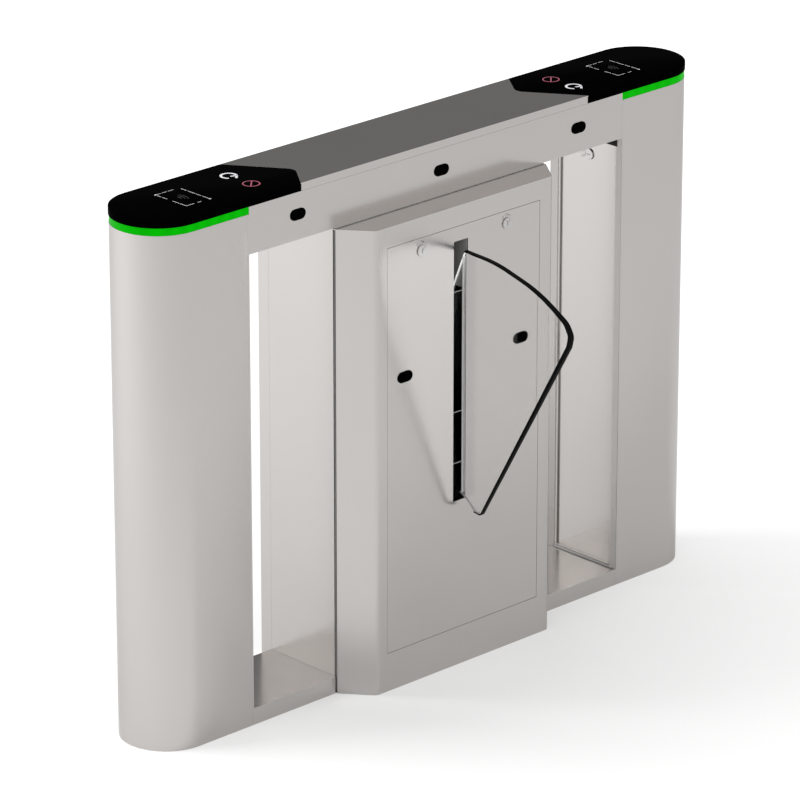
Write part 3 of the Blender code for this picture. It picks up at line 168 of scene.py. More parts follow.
def build_grain_group():
    """Fine grain of any stretch over broad, faint clouding."""
    tree, source, sink = group_tree(
        "surface grain",
        [
            ("Cells", "NodeSocketVector", (400.0, 400.0, 400.0)),
            ("Colour", "NodeSocketColor", (0.5, 0.5, 0.5, 1.0)),
            ("Contrast", "NodeSocketFloat", 0.05),
            ("Clouding", "NodeSocketFloat", 0.03),
            ("Roughness", "NodeSocketFloat", 0.3),
            ("Spread", "NodeSocketFloat", 0.05),
        ],
        [
            ("Colour", "NodeSocketColor"),
            ("Roughness", "NodeSocketFloat"),
            ("Height", "NodeSocketFloat"),
        ],
    )
    place = object_place(tree)
    stretched = vector_node(tree, "MULTIPLY", place, source.outputs["Cells"])
    fine = noise_node(tree, stretched, 1.0, 3.0, 0.6)
    broad = noise_node(tree, place, 4.0, 3.0, 0.5)
    fine_swing = spread_node(tree, fine, 0.3, 0.7, -1.0, 1.0)
    broad_swing = spread_node(tree, broad, 0.3, 0.7, -1.0, 1.0)
    fine_part = math_node(tree, "MULTIPLY", fine_swing, source.outputs["Contrast"])
    broad_part = math_node(tree, "MULTIPLY", broad_swing, source.outputs["Clouding"])
    shade = math_node(tree, "ADD", math_node(tree, "ADD", fine_part, broad_part), 1.0)
    tint = vector_node(tree, "SCALE", source.outputs["Colour"], shade)
    tree.links.new(tint, sink.inputs["Colour"])
    rough_swing = math_node(tree, "ADD", fine_swing, broad_swing)
    rough_part = math_node(tree, "MULTIPLY", rough_swing, source.outputs["Spread"])
    rough = math_node(tree, "ADD", source.outputs["Roughness"], rough_part, clamp=True)
    tree.links.new(rough, sink.inputs["Roughness"])
    tree.links.new(fine, sink.inputs["Height"])
    return tree


def build_wear_group():
    """Rounds edges in the shading, and masks the edges that take another colour: real wear where hands and
    tools rub paint and print, and a painted highlight on the other finishes.
    """
    tree, source, sink = group_tree(
        "worn edges",
        [("Radius", "NodeSocketFloat", 0.001), ("Amount", "NodeSocketFloat", 0.5)],
        [("Mask", "NodeSocketFloat"), ("Normal", "NodeSocketVector")],
    )
    bevel = tree.nodes.new("ShaderNodeBevel")
    bevel.samples = 4
    tree.links.new(source.outputs["Radius"], bevel.inputs["Radius"])
    facing = tree.nodes.new("ShaderNodeNewGeometry").outputs["Normal"]
    turn = vector_node(tree, "DOT_PRODUCT", bevel.outputs["Normal"], facing, result="Value")
    corner = spread_node(tree, turn, 0.98, 0.80, 0.0, 1.0)
    patches = noise_node(tree, object_place(tree), 60.0, 4.0, 0.7)
    broken = spread_node(tree, patches, 0.40, 0.62, 0.0, 1.0)
    patchy = math_node(tree, "MULTIPLY", corner, broken)
    mask = math_node(tree, "MULTIPLY", patchy, source.outputs["Amount"])
    tree.links.new(mask, sink.inputs["Mask"])
    tree.links.new(bevel.outputs["Normal"], sink.inputs["Normal"])
    return tree


def build_dust_group():
    """Masks the dust that settles on faces that look up."""
    tree, source, sink = group_tree(
        "settled dust",
        [("Amount", "NodeSocketFloat", 0.2), ("Cells", "NodeSocketFloat", 30.0)],
        [("Mask", "NodeSocketFloat")],
    )
    facing = tree.nodes.new("ShaderNodeNewGeometry")
    split = tree.nodes.new("ShaderNodeSeparateXYZ")
    tree.links.new(facing.outputs["Normal"], split.inputs["Vector"])
    upward = spread_node(tree, split.outputs["Z"], 0.3, 0.9, 0.0, 1.0)
    noise = noise_node(tree, object_place(tree), source.outputs["Cells"], 5.0, 0.5)
    patches = spread_node(tree, noise, 0.35, 0.65, 0.3, 1.0)
    patchy = math_node(tree, "MULTIPLY", upward, patches)
    mask = math_node(tree, "MULTIPLY", patchy, source.outputs["Amount"])
    tree.links.new(mask, sink.inputs["Mask"])
    return tree


GROUP_BUILDERS = {
    "surface grain": build_grain_group,
    "worn edges": build_wear_group,
    "settled dust": build_dust_group,
}


def placed_group(tree, name, **values):
    """A node of that group with its values set; the group is built when it is first placed."""
    shared = bpy.data.node_groups.get(name) or GROUP_BUILDERS[name]()
    node = tree.nodes.new("ShaderNodeGroup")
    node.node_tree = shared
    for label, value in values.items():
        node.inputs[label.replace("_", " ").capitalize()].default_value = value
    return node


def mix_node(tree, mask, under, over):
    """Mixes a colour or a value over another by a mask; gives the result socket."""
    node = tree.nodes.new("ShaderNodeMix")
    is_colour = isinstance(over, tuple)
    node.data_type = "RGBA" if is_colour else "FLOAT"
    below, above, result = (6, 7, 2) if is_colour else (2, 3, 0)
    tree.links.new(mask, node.inputs["Factor"])
    tree.links.new(under, node.inputs[below])
    node.inputs[above].default_value = (*over, 1.0) if is_colour else over
    return node.outputs[result]


def new_material(name):
    """A material with nodes; gives it, its tree and its shader."""
    material = bpy.data.materials.new(name)
    material.use_nodes = True
    return material, material.node_tree, material.node_tree.nodes["Principled BSDF"]


def finish_material(name, colour, roughness, **look):
    """A material of grain, rounded edges in a colour of wear and painted highlight, and settled dust over
    one base finish.
    """
    material, tree, shader = new_material(name)
    cells = look.get("cells", 500.0)
    grain = placed_group(
        tree, "surface grain", cells=cells if isinstance(cells, tuple) else (cells,) * 3,
        colour=(*colour, 1.0), contrast=look.get("contrast", 0.05), clouding=look.get("clouding", 0.03),
        roughness=roughness, spread=look.get("spread", 0.05),
    )
    edges = placed_group(tree, "worn edges", radius=look.get("edge", 0.0008), amount=look.get("wear", 0.4))
    dust = placed_group(tree, "settled dust", amount=look.get("dust", 0.0), cells=30.0)
    # Edge colour: real wear on the painted arms, base and print; a lighter edge on the steel, chrome, caps,
    # windows, rubbers, mouldings and cast and plated metals, which is a painted highlight.
    base = mix_node(tree, edges.outputs["Mask"], grain.outputs["Colour"], look.get("worn", tuple(colour)))
    base = mix_node(tree, dust.outputs["Mask"], base, DUST_COLOUR)
    rough = mix_node(tree, edges.outputs["Mask"], grain.outputs["Roughness"], look.get("worn_rough", 0.35))
    rough = mix_node(tree, dust.outputs["Mask"], rough, DUST_ROUGHNESS)
    tree.links.new(base, shader.inputs["Base Color"])
    tree.links.new(rough, shader.inputs["Roughness"])
    bump = tree.nodes.new("ShaderNodeBump")
    bump.inputs["Strength"].default_value = look.get("bump", 0.1)
    bump.inputs["Distance"].default_value = look.get("depth", 0.0001)
    tree.links.new(grain.outputs["Height"], bump.inputs["Height"])
    tree.links.new(edges.outputs["Normal"], bump.inputs["Normal"])
    tree.links.new(bump.outputs["Normal"], shader.inputs["Normal"])
    for label, value in look.get("sockets", {}).items():
        shader.inputs[label].default_value = value
    return material


# Mesh helpers

def build_soft_shading():
    """A modifier tree that joins the model's triangles and shades its curves smooth."""
    tree = bpy.data.node_groups.new("soft shading", "GeometryNodeTree")
    tree.interface.new_socket(name="Geometry", in_out="INPUT", socket_type="NodeSocketGeometry")
    tree.interface.new_socket(name="Geometry", in_out="OUTPUT", socket_type="NodeSocketGeometry")
    source = tree.nodes.new("NodeGroupInput")
    sink = tree.nodes.new("NodeGroupOutput")
    drop = tree.nodes.new("GeometryNodeRemoveAttribute")
    drop.inputs["Name"].default_value = "custom_normal"
    merge = tree.nodes.new("GeometryNodeMergeByDistance")
    merge.inputs["Distance"].default_value = 0.00001
    faces = tree.nodes.new("GeometryNodeSetShadeSmooth")
    faces.domain = "FACE"
    edges = tree.nodes.new("GeometryNodeSetShadeSmooth")
    edges.domain = "EDGE"
    edges.inputs["Shade Smooth"].default_value = False
    angle = tree.nodes.new("GeometryNodeInputMeshEdgeAngle")
    sharp = tree.nodes.new("FunctionNodeCompare")
    sharp.data_type = "FLOAT"
    sharp.operation = "GREATER_THAN"
    sharp.inputs["B"].default_value = math.radians(32.0)
    tree.links.new(angle.outputs["Unsigned Angle"], sharp.inputs["A"])
    tree.links.new(sharp.outputs["Result"], edges.inputs["Selection"])
    geometry = source.outputs[0]
    for node in (drop, merge, faces, edges):
        tree.links.new(geometry, node.inputs["Geometry"])
        geometry = node.outputs["Geometry"]
    tree.links.new(geometry, sink.inputs[0])
    return tree


def dress(names, material):
    """Puts one material and smooth shading on the model's own pieces; their meshes stay as packed."""
    shading = bpy.data.node_groups.get("soft shading") or build_soft_shading()
    for name in names:
        slot = NODES[name].material_slots[0]
        slot.link = "OBJECT"
        slot.material = material
        NODES[name].modifiers.new("soft shading", "NODES").node_group = shading


def add_object(name, data, place=(0.0, 0.0, 0.0), aim=None):
    """Puts a new object in the scene, turned so that it points at its aim."""
    thing = bpy.data.objects.new(name, data)
    thing.location = place
    if aim is not None:
        thing.rotation_euler = (Vector(aim) - Vector(place)).to_track_quat("-Z", "Y").to_euler()
    bpy.context.scene.collection.objects.link(thing)
    return thing


def mesh_object(name, mesh, material):
    """Turns a bmesh into an object of one material."""
    data = bpy.data.meshes.new(name)
    mesh.to_mesh(data)
    mesh.free()
    data.materials.append(material)
    return add_object(name, data)


def new_piece(name, mesh, material, body):
    """Turns a bmesh into a piece that rides on a body."""
    bmesh.ops.recalc_face_normals(mesh, faces=mesh.faces)
    piece = mesh_object(name, mesh, material)
    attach(piece, body)
    return piece


def add_loft(mesh, rings):
    """Joins rings of the same count into one closed solid."""
    rows = [[mesh.verts.new(point) for point in ring] for ring in rings]
    count = len(rows[0])
    for low, high in zip(rows, rows[1:]):
        for index in range(count):
            after = (index + 1) % count
            mesh.faces.new((low[index], low[after], high[after], high[index]))
    mesh.faces.new(rows[0][::-1])
    mesh.faces.new(rows[-1])


def add_plate(mesh, outline, low, high):
    """A flat plate between two heights."""
    add_loft(mesh, [[(x, y, low) for x, y in outline], [(x, y, high) for x, y in outline]])


def add_line(mesh, start, end, width, low, high):
    """A flat printed line between two points."""
    along = Vector((end[0] - start[0], end[1] - start[1]))
    side = Vector((-along.y, along.x)).normalized() * width / 2
    corners = [
        (start[0] - side.x, start[1] - side.y), (end[0] - side.x, end[1] - side.y),
        (end[0] + side.x, end[1] + side.y), (start[0] + side.x, start[1] + side.y),
    ]
    add_plate(mesh, corners, low, high)


def ring_points(centre, radius, steps, first=0.0, last=360.0):
    """Points on an arc, its last one included when it isn't a whole turn."""
    count = steps if last - first >= 360.0 else steps + 1
    turns = [math.radians(first + (last - first) * step / steps) for step in range(count)]
    return [(centre[0] + radius * math.cos(turn), centre[1] + radius * math.sin(turn)) for turn in turns]


def add_band(mesh, centre, inner, outer, low, high, steps=32, first=0.0, last=360.0):
    """A flat ring, or a part of one."""
    if last - first >= 360.0:
        rings = []
        for radius, height in ((inner, low), (outer, low), (outer, high), (inner, high)):
            rings.append([mesh.verts.new((x, y, height)) for x, y in ring_points(centre, radius, steps)])
        for ring, after_ring in zip(rings, rings[1:] + rings[:1]):
            for index in range(steps):
                after = (index + 1) % steps
                mesh.faces.new((ring[index], ring[after], after_ring[after], after_ring[index]))
        return
    outline = ring_points(centre, outer, steps, first, last)
    outline += ring_points(centre, inner, steps, first, last)[::-1]
    add_plate(mesh, outline, low, high)


def add_bar(mesh, axis, profile, start, end):
    """A straight bar of one profile along X, Y or Z; the profile is in the other two axes, in order."""
    rings = []
    for along in (start, end):
        ring = []
        for first, second in profile:
            point = [first, second]
            point.insert("XYZ".index(axis), along)
            ring.append(point)
        rings.append(ring)
    add_loft(mesh, rings)


def soft_corners(low, high, radius, steps=3):
    """A rectangle with round corners, as points in its own plane."""
    points = []
    turns = (
        ((high[0] - radius, high[1] - radius), 0), ((low[0] + radius, high[1] - radius), 90),
        ((low[0] + radius, low[1] + radius), 180), ((high[0] - radius, low[1] + radius), 270),
    )
    for centre, first in turns:
        points += ring_points(centre, radius, steps, first, first + 90)
    return points


def add_strip(mesh, axis, corner, opposite, start, end, bevel=0.0):
    """A straight strip along an axis, between two opposite corners of its section in either order."""
    low = [min(pair) for pair in zip(corner, opposite)]
    high = [max(pair) for pair in zip(corner, opposite)]
    profile = [(low[0], low[1]), (high[0], low[1]), (high[0], high[1]), (low[0], high[1])]
    if bevel:
        profile = soft_corners(low, high, bevel)
    add_bar(mesh, axis, profile, start, end)


def add_dashes(mesh, start, end, dashes, line, low, high):
    """Printed dashes along one side; each has its first and last share of the way."""
    for first, last in dashes:
        ends = [tuple(a + (b - a) * share for a, b in zip(start, end)) for share in (first, last)]
        add_line(mesh, ends[0], ends[1], line, low, high)


def add_screw(mesh, place, facing, radius, height, steps=24):
    """A dome screw head with a hexagon socket; it faces along an axis."""
    turn = Vector((0, 0, 1)).rotation_difference(Vector(facing))
    socket = radius * 0.48
    rings = []
    sizes = (
        (radius * 0.97, 0.0), (radius, height * 0.18), (radius * 0.94, height * 0.52),
        (radius * 0.80, height * 0.82), (radius * 0.62, height), (radius * 0.55, height),
    )
    for size, level in sizes:
        rings.append([(x, y, level) for x, y in ring_points((0, 0), size, steps)])
    for level in (height, height * 0.35):
        ring = []
        for x, y in ring_points((0, 0), 1.0, steps):
            angle = math.atan2(y, x)
            sector = (angle + math.pi / 6) % (math.pi / 3) - math.pi / 6
            reach = socket * math.cos(math.pi / 6) / math.cos(sector)
            ring.append((x * reach, y * reach, level))
        rings.append(ring)
    origin = Vector(place)
    add_loft(mesh, [[origin + turn @ Vector(point) for point in ring] for ring in rings])


# Settings

COLOUR = {"subtype": "COLOR", "size": 3, "min": 0.0, "max": 1.0}


class PedestalFinishes(bpy.types.PropertyGroup):
    """Colours and roughness of the pedestal's finishes."""

    steel: FloatVectorProperty(
        name="Steel", description="Colour of the satin steel sheets",
        default=(0.555, 0.532, 0.516), **COLOUR,
    )
    steel_roughness: FloatProperty(
        name="Steel Roughness", description="How blurred the steel reflects",
        subtype="FACTOR", min=0.0, max=1.0, default=0.20,
    )
    cap: FloatVectorProperty(
        name="Cap", description="Colour of the gloss top caps",
        default=(0.0008, 0.0008, 0.0009), **COLOUR,
    )
    strip: FloatVectorProperty(
        name="Light Strip", description="Colour of the glowing strips",
        default=(0.0, 0.456, 0.0), **COLOUR,
    )
    strip_glow: FloatProperty(
        name="Strip Glow", description="Strength of the strips' own light", min=0.0, max=5.0, default=1.0,
    )
    lens: FloatVectorProperty(
        name="Sensor Window", description="Colour of the sensor windows",
        default=(0.001, 0.001, 0.001), **COLOUR,
    )
    wing: FloatVectorProperty(
        name="Wing", description="Tint of the clear wing",
        default=(0.99, 0.995, 0.995), **COLOUR,
    )
    rubber: FloatVectorProperty(
        name="Wing Edge", description="Colour of the wing's rubber edge",
        default=(0.0015, 0.0015, 0.0015), **COLOUR,
    )
    arm: FloatVectorProperty(
        name="Arm Paint", description="Colour of the painted arms and base",
        default=(0.018, 0.018, 0.019), **COLOUR,
    )
    go_mark: FloatVectorProperty(
        name="Go Mark", description="Colour of the white printed marks",
        default=(0.80, 0.78, 0.82), **COLOUR,
    )
    stop_mark: FloatVectorProperty(
        name="Stop Mark", description="Colour of the red printed marks",
        default=(0.40, 0.10, 0.15), **COLOUR,
    )


class PedestalSizes(bpy.types.PropertyGroup):
    """Sizes of the small parts."""

    reader_x: FloatProperty(
        name="Reader From Centre", description="Distance of a reader mark from the middle",
        unit="LENGTH", default=0.547,
    )
    print_shift: FloatProperty(
        name="Print Shift", description="How far all printed marks sit towards the far end",
        unit="LENGTH", default=-0.006,
    )
    reader_length: FloatProperty(
        name="Reader Mark Length", description="Size of the reader mark along the pedestal",
        unit="LENGTH", default=0.056,
    )
    reader_width: FloatProperty(
        name="Reader Mark Width", description="Size of the reader mark across the pedestal",
        unit="LENGTH", default=0.082,
    )
    reader_line: FloatProperty(
        name="Reader Line", description="Width of the reader mark's printed line",
        unit="LENGTH", default=0.0010,
    )
    reader_dot: FloatProperty(
        name="Reader Dot", description="Radius of the reader mark's corner dots",
        unit="LENGTH", default=0.0022,
    )
    icon_x: FloatProperty(
        name="Icon From Centre", description="Distance of the icons from the middle",
        unit="LENGTH", default=0.410,
    )
    icon_y: FloatProperty(
        name="Icon From Axis", description="Distance of the icons from the long axis",
        unit="LENGTH", default=0.030,
    )
    icon_radius: FloatProperty(
        name="Icon Radius", description="Outer radius of a printed icon", unit="LENGTH", default=0.0165,
    )
    print_height: FloatProperty(
        name="Print Height", description="How far the printed ink stands up", unit="LENGTH", default=0.00012,
    )
    seal_recess: FloatProperty(
        name="Seal Recess", description="How far seals stay behind the steel beside them",
        unit="LENGTH", default=0.0003,
    )
    trim_width: FloatProperty(
        name="Rear Trim Width", description="How far the towers' rear trims reach into the bays",
        unit="LENGTH", default=0.0115,
    )
    arm_screw: FloatProperty(
        name="Arm Screw Radius", description="Head radius of the wing's clamp screws",
        unit="LENGTH", default=0.0055,
    )


class PedestalStage(bpy.types.PropertyGroup):
    """The studio around the pedestal."""

    floor_size: FloatProperty(
        name="Floor Size", description="Side of the square floor", unit="LENGTH", default=80.0,
    )
    floor_white: FloatProperty(
        name="Floor White", description="How much of the floor is plain white to the eye near the pedestal",
        subtype="FACTOR", min=0.0, max=1.0, default=0.21,
    )
    floor_clear: FloatVectorProperty(
        name="Shadow Reach", description="Between these distances the floor turns plain white to the eye",
        subtype="XYZ", unit="LENGTH", size=2, default=(0.3, 3.0),
    )
    floor_level: FloatProperty(
        name="Floor White Level", description="How bright the floor's plain white is", min=0.0, default=1.30,
    )
    floor_mirrored: FloatProperty(
        name="Floor White In Steel", description="How much of the mirrored floor is plain white",
        subtype="FACTOR", min=0.0, max=1.0, default=0.05,
    )
    room_level: FloatProperty(
        name="Room Level", description="Strength of the soft light from all round", min=0.0, default=0.96,
    )
    room_dark: FloatProperty(
        name="Dark Side", description="Grey that metal mirrors from behind the pedestal on the right",
        min=0.0, default=0.235,
    )
    room_bright: FloatProperty(
        name="Bright Side", description="Grey that metal mirrors from all other sides",
        min=0.0, default=1.10,
    )
    key_power: FloatProperty(
        name="Main Lamp", description="Power of the large lamp on the left", unit="POWER", default=150.0,
    )
    fill_power: FloatProperty(
        name="Second Lamp", description="Power of the lamp overhead", unit="POWER", default=15.0,
    )
    lens: FloatProperty(
        name="Lens", description="Focal length of the camera", unit="CAMERA", default=247.85,
    )
    camera_place: FloatVectorProperty(
        name="Camera Place", description="Where the camera stands",
        subtype="XYZ", unit="LENGTH", size=3, default=(-6.670, -6.930, 4.181),
    )
    camera_aim: FloatVectorProperty(
        name="Camera Aim", description="The point at the middle of the picture",
        subtype="XYZ", unit="LENGTH", size=3, default=(-0.0223, -0.0029, 0.4943),
    )


# Pieces

class PEDESTAL_OT_steel(bpy.types.Operator):
    """Satin steel on the towers, covers, beam and lid"""

    bl_idname = "pedestal.steel"
    bl_label = "Steel Sheets"

    def execute(self, context):
        looks = context.scene.pedestal_finishes
        # The steel's edge colour is a little lighter than the steel: a painted highlight.
        common = {
            "contrast": 0.012, "clouding": 0.012, "spread": 0.010, "bump": 0.03, "depth": 0.00004,
            "edge": 0.0002, "wear": 0.12, "worn": (0.58, 0.57, 0.55), "worn_rough": 0.30,
            "sockets": {"Metallic": 1.0, "Specular Tint": (0.82, 0.82, 0.82, 1.0)},
        }
        upright = finish_material(
            "satin steel, upright grain", looks.steel, looks.steel_roughness,
            cells=(900.0, 900.0, 14.0), **common)
        level = finish_material(
            "satin steel, lengthways grain", looks.steel, looks.steel_roughness,
            cells=(14.0, 900.0, 900.0), **common)
        dress(UPRIGHT_STEEL, upright)
        dress(LENGTHWAYS_STEEL, level)
        return {"FINISHED"}


class PEDESTAL_OT_caps(bpy.types.Operator):
    """Gloss black on the two top caps"""

    bl_idname = "pedestal.caps"
    bl_label = "Top Caps"

    def execute(self, context):
        looks = context.scene.pedestal_finishes
        material = finish_material(
            "gloss black moulding", looks.cap, 0.25, cells=40.0, contrast=0.2, clouding=0.1,
            spread=0.02, bump=0.02, edge=0.0008, wear=0.15, worn=(0.006, 0.006, 0.006), worn_rough=0.3,
            sockets={"Specular IOR Level": 0.0004},
        )
        dress(CAPS, material)
        return {"FINISHED"}


class PEDESTAL_OT_strips(bpy.types.Operator):
    """Glowing green on the light strips"""

    bl_idname = "pedestal.strips"
    bl_label = "Light Strips"

    def execute(self, context):
        looks = context.scene.pedestal_finishes
        material = finish_material(
            "glowing green strip", (0.0, 0.004, 0.0), 0.35, cells=220.0, contrast=0.04, clouding=0.05,
            spread=0.03, bump=0.02, edge=0.0006, wear=0.0,
            sockets={"Emission Strength": looks.strip_glow, "Specular IOR Level": 0.03},
        )
        tree, shader = material.node_tree, material.node_tree.nodes["Principled BSDF"]
        lamps = tree.nodes.new("ShaderNodeTexWave")
        lamps.inputs["Scale"].default_value = 11.0
        tree.links.new(object_place(tree), lamps.inputs["Vector"])
        level = spread_node(tree, lamps.outputs["Fac"], 0.0, 1.0, 0.94, 1.06)
        tree.links.new(vector_node(tree, "SCALE", looks.strip, level), shader.inputs["Emission Color"])
        dress(STRIPS, material)
        return {"FINISHED"}


INK_SINK = 0.0002
WAVE_RADII = (0.008, 0.014, 0.020)
WAVE_TURN = 42.0
READER_SIDES = (
    ((-1, 1), (1, 1), ((0.04, 0.22), (0.27, 0.47), (0.53, 0.76))),
    ((1, 1), (1, -1), ((0.06, 0.24), (0.28, 0.52), (0.55, 0.72), (0.76, 1.0))),
    ((-1, -1), (1, -1), ((0.0, 0.34), (0.48, 0.64))),
    ((-1, -1), (-1, 1), ((0.0, 0.20), (0.23, 0.44), (0.62, 0.78), (0.82, 0.94))),
)


def print_material(name, colour):
    """Matt printing ink."""
    return finish_material(
        name, colour, 0.45, cells=2500.0, contrast=0.12, clouding=0.05,
        bump=0.2, edge=0.0002, wear=0.2, worn=(0.3, 0.3, 0.3), sockets={"Specular IOR Level": 0.2},
    )


class PEDESTAL_OT_marks(bpy.types.Operator):
    """Printed reader marks and direction icons on the caps"""

    bl_idname = "pedestal.marks"
    bl_label = "Printed Marks"

    def execute(self, context):
        sizes = context.scene.pedestal_sizes
        looks = context.scene.pedestal_finishes
        white = print_material("white print", looks.go_mark)
        red = print_material("red print", looks.stop_mark)
        grey = print_material("grey print", (0.10, 0.10, 0.10))
        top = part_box("cap_near")[1].z
        layer = (top - INK_SINK, top + sizes.print_height)
        for side, name in ((-1, "near"), (1, "far")):
            self.reader_mark(name, side, sizes, white, grey, layer)
            self.go_icon(name, side, sizes, white, layer)
            self.stop_icon(name, side, sizes, red, layer)
        return {"FINISHED"}

    def reader_mark(self, name, side, sizes, white, grey, layer):
        """A broken frame with a dot at two corners, and faint waves inside."""
        half_x, half_y = sizes.reader_length / 2, sizes.reader_width / 2
        middle = side * sizes.reader_x + sizes.print_shift

        def at(x, y):
            return (middle + x * half_x, y * half_y)

        mesh = bmesh.new()
        for start, end, dashes in READER_SIDES:
            add_dashes(mesh, at(*start), at(*end), dashes, sizes.reader_line, *layer)
        for corner in ((-1, 1), (1, -1)):
            add_plate(mesh, ring_points(at(*corner), sizes.reader_dot, 16), *layer)
        new_piece("reader_mark_" + name, mesh, white, "pedestal")
        mesh = bmesh.new()
        half = sizes.reader_line / 3
        for radius in WAVE_RADII:
            add_band(mesh, at(-0.5, 0.0), radius - half, radius + half, *layer, 16, -WAVE_TURN, WAVE_TURN)
        new_piece("reader_waves_" + name, mesh, grey, "pedestal")

    def go_icon(self, name, side, sizes, white, layer):
        """A ring with a gap, where it ends in an arrow head."""
        centre = Vector((side * sizes.icon_x + sizes.print_shift, -side * sizes.icon_y))
        radius = sizes.icon_radius
        across, upward = Vector((0.722, -0.692)), Vector((0.692, 0.722))

        def at(x, y):
            return tuple(centre + across * radius * x + upward * radius * y)

        mesh = bmesh.new()
        add_band(mesh, at(0.0, 0.0), radius * 0.72, radius, *layer, 36, 330, 590)
        tip = at(0.86, 0.10)
        for barb in (at(0.20, -0.20), at(0.86, -0.75)):
            add_line(mesh, tip, barb, radius * 0.26, *layer)
        new_piece("go_icon_" + name, mesh, white, "pedestal")

    def stop_icon(self, name, side, sizes, red, layer):
        """A ring with a slanting bar."""
        x, y = side * sizes.icon_x + sizes.print_shift, side * sizes.icon_y
        radius = sizes.icon_radius
        mesh = bmesh.new()
        add_band(mesh, (x, y), radius * 0.86, radius, *layer, 40)
        slant = radius * 0.60
        add_line(mesh, (x - slant, y - slant), (x + slant, y + slant), radius * 0.15, *layer)
        new_piece("stop_icon_" + name, mesh, red, "pedestal")


class PEDESTAL_OT_sensors(bpy.types.Operator):
    """Dark windows on the sensors"""

    bl_idname = "pedestal.sensors"
    bl_label = "Sensors"

    def execute(self, context):
        looks = context.scene.pedestal_finishes
        material = finish_material(
            "dark sensor window", looks.lens, 0.12, cells=60.0, contrast=0.2, clouding=0.1,
            spread=0.02, bump=0.01, edge=0.0005, wear=0.1, worn=(0.01, 0.01, 0.01),
            sockets={"Specular IOR Level": 0.002},
        )
        dress(SENSORS, material)
        return {"FINISHED"}


class PEDESTAL_OT_locks(bpy.types.Operator):
    """Chrome on the cam locks"""

    bl_idname = "pedestal.locks"
    bl_label = "Cam Locks"

    def execute(self, context):
        material = finish_material(
            "bright chrome", (0.56, 0.55, 0.54), 0.24, cells=300.0, contrast=0.04, clouding=0.04,
            spread=0.03, bump=0.02, edge=0.0004, wear=0.3, worn=(0.5, 0.49, 0.47),
            sockets=METAL,
        )
        # The rings' darker grey is painted shade of grooves; the bands stand slightly proud of the face.
        groove_shade = finish_material(
            "lock ring, painted groove shade", (0.28, 0.28, 0.28), 0.45, cells=900.0, contrast=0.2,
            bump=0.1, edge=0.0001, wear=0.3, worn=(0.4, 0.4, 0.4), sockets=METAL,
        )
        dress(LOCK_BODIES, material)
        for name, body in LOCK_BODIES.items():
            self.lock_rings(name, body, groove_shade)
        return {"FINISHED"}

    def lock_rings(self, name, body, groove_shade):
        """A broken ring and three pin marks on the lock's face: thin raised bands in a darker grey that is
        painted shade of pressed grooves.
        """
        low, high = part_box(name)
        middle = (low + high) / 2
        mesh = bmesh.new()
        for first, last in ((20, 85), (140, 200), (250, 330)):
            add_band(mesh, (0, 0), *LOCK_RING, 0.0, LOCK_MARK_HEIGHT, 10, first, last)
        for turn in (105, 225, 345):
            spot = ring_points((0, 0), LOCK_PIN_CIRCLE, 1, turn, turn + 1)[0]
            add_plate(mesh, ring_points(spot, LOCK_PIN_RADIUS, 10), 0.0, LOCK_MARK_HEIGHT)
        if name.startswith("door"):
            face, facing = (middle.x, low.y, middle.z), (0, -1, 0)
        elif "near" in name:
            face, facing = (high.x, middle.y, middle.z), (1, 0, 0)
        else:
            face, facing = (low.x, middle.y, middle.z), (-1, 0, 0)
        turn = Vector((0, 0, 1)).rotation_difference(Vector(facing))
        for vertex in mesh.verts:
            vertex.co = Vector(face) + turn @ vertex.co
        new_piece(name + "_rings", mesh, groove_shade, body)


ARM_FACE = 0.0063
SCREW_PLACES = ((-0.1149, 0.700), (-0.1019, 0.655), (-0.0889, 0.610), (-0.0884, 0.540), (-0.0920, 0.450))


class PEDESTAL_OT_wing(bpy.types.Operator):
    """Clear acrylic and rubber on the wing, with its clamp arms and screws"""

    bl_idname = "pedestal.wing"
    bl_label = "Wing"

    def execute(self, context):
        looks = context.scene.pedestal_finishes
        sizes = context.scene.pedestal_sizes
        clear, tree, shader = new_material("clear acrylic")
        grain = placed_group(
            tree, "surface grain", cells=(30.0, 30.0, 30.0), colour=(*looks.wing, 1.0), contrast=0.004,
            clouding=0.004, roughness=0.03, spread=0.01)
        tree.links.new(grain.outputs["Colour"], shader.inputs["Base Color"])
        tree.links.new(grain.outputs["Roughness"], shader.inputs["Roughness"])
        shader.inputs["Transmission Weight"].default_value = 1.0
        shader.inputs["IOR"].default_value = 1.49
        rubber = finish_material(
            "black edge rubber", looks.rubber, 0.55, cells=700.0, contrast=0.25, clouding=0.15,
            spread=0.06, bump=0.25, edge=0.0010, wear=0.2, worn=(0.008, 0.008, 0.008),
            sockets={"Specular IOR Level": 0.06},
        )
        paint = finish_material(
            "black textured paint", looks.arm, 0.45, cells=1300.0, contrast=0.25, clouding=0.1,
            spread=0.06, bump=0.35, edge=0.0008, wear=0.5, worn=(0.22, 0.22, 0.23), dust=0.05,
        )
        dress(("wing_panel",), clear)
        dress(("wing_rubber",), rubber)
        dress(ARMS + ("base_plate",), paint)
        self.clamp_screws(sizes)
        return {"FINISHED"}

    def clamp_screws(self, sizes):
        """Blackened dome screws down the middle of both clamp arms, through the clear panel."""
        blackened = finish_material(
            "blackened screw steel", (0.06, 0.06, 0.06), 0.35, cells=900.0, contrast=0.15,
            bump=0.05, edge=0.0003, wear=0.3, worn=(0.20, 0.20, 0.20), sockets=METAL,
        )
        low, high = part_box("wing_panel")
        for name, face, sign in (("left", low.x - ARM_FACE, -1), ("right", high.x + ARM_FACE, 1)):
            mesh = bmesh.new()
            for y, z in SCREW_PLACES:
                add_screw(mesh, (face, y, z), (sign, 0, 0), sizes.arm_screw, sizes.arm_screw * 0.55)
            new_piece("clamp_screws_" + name, mesh, blackened, "wing")


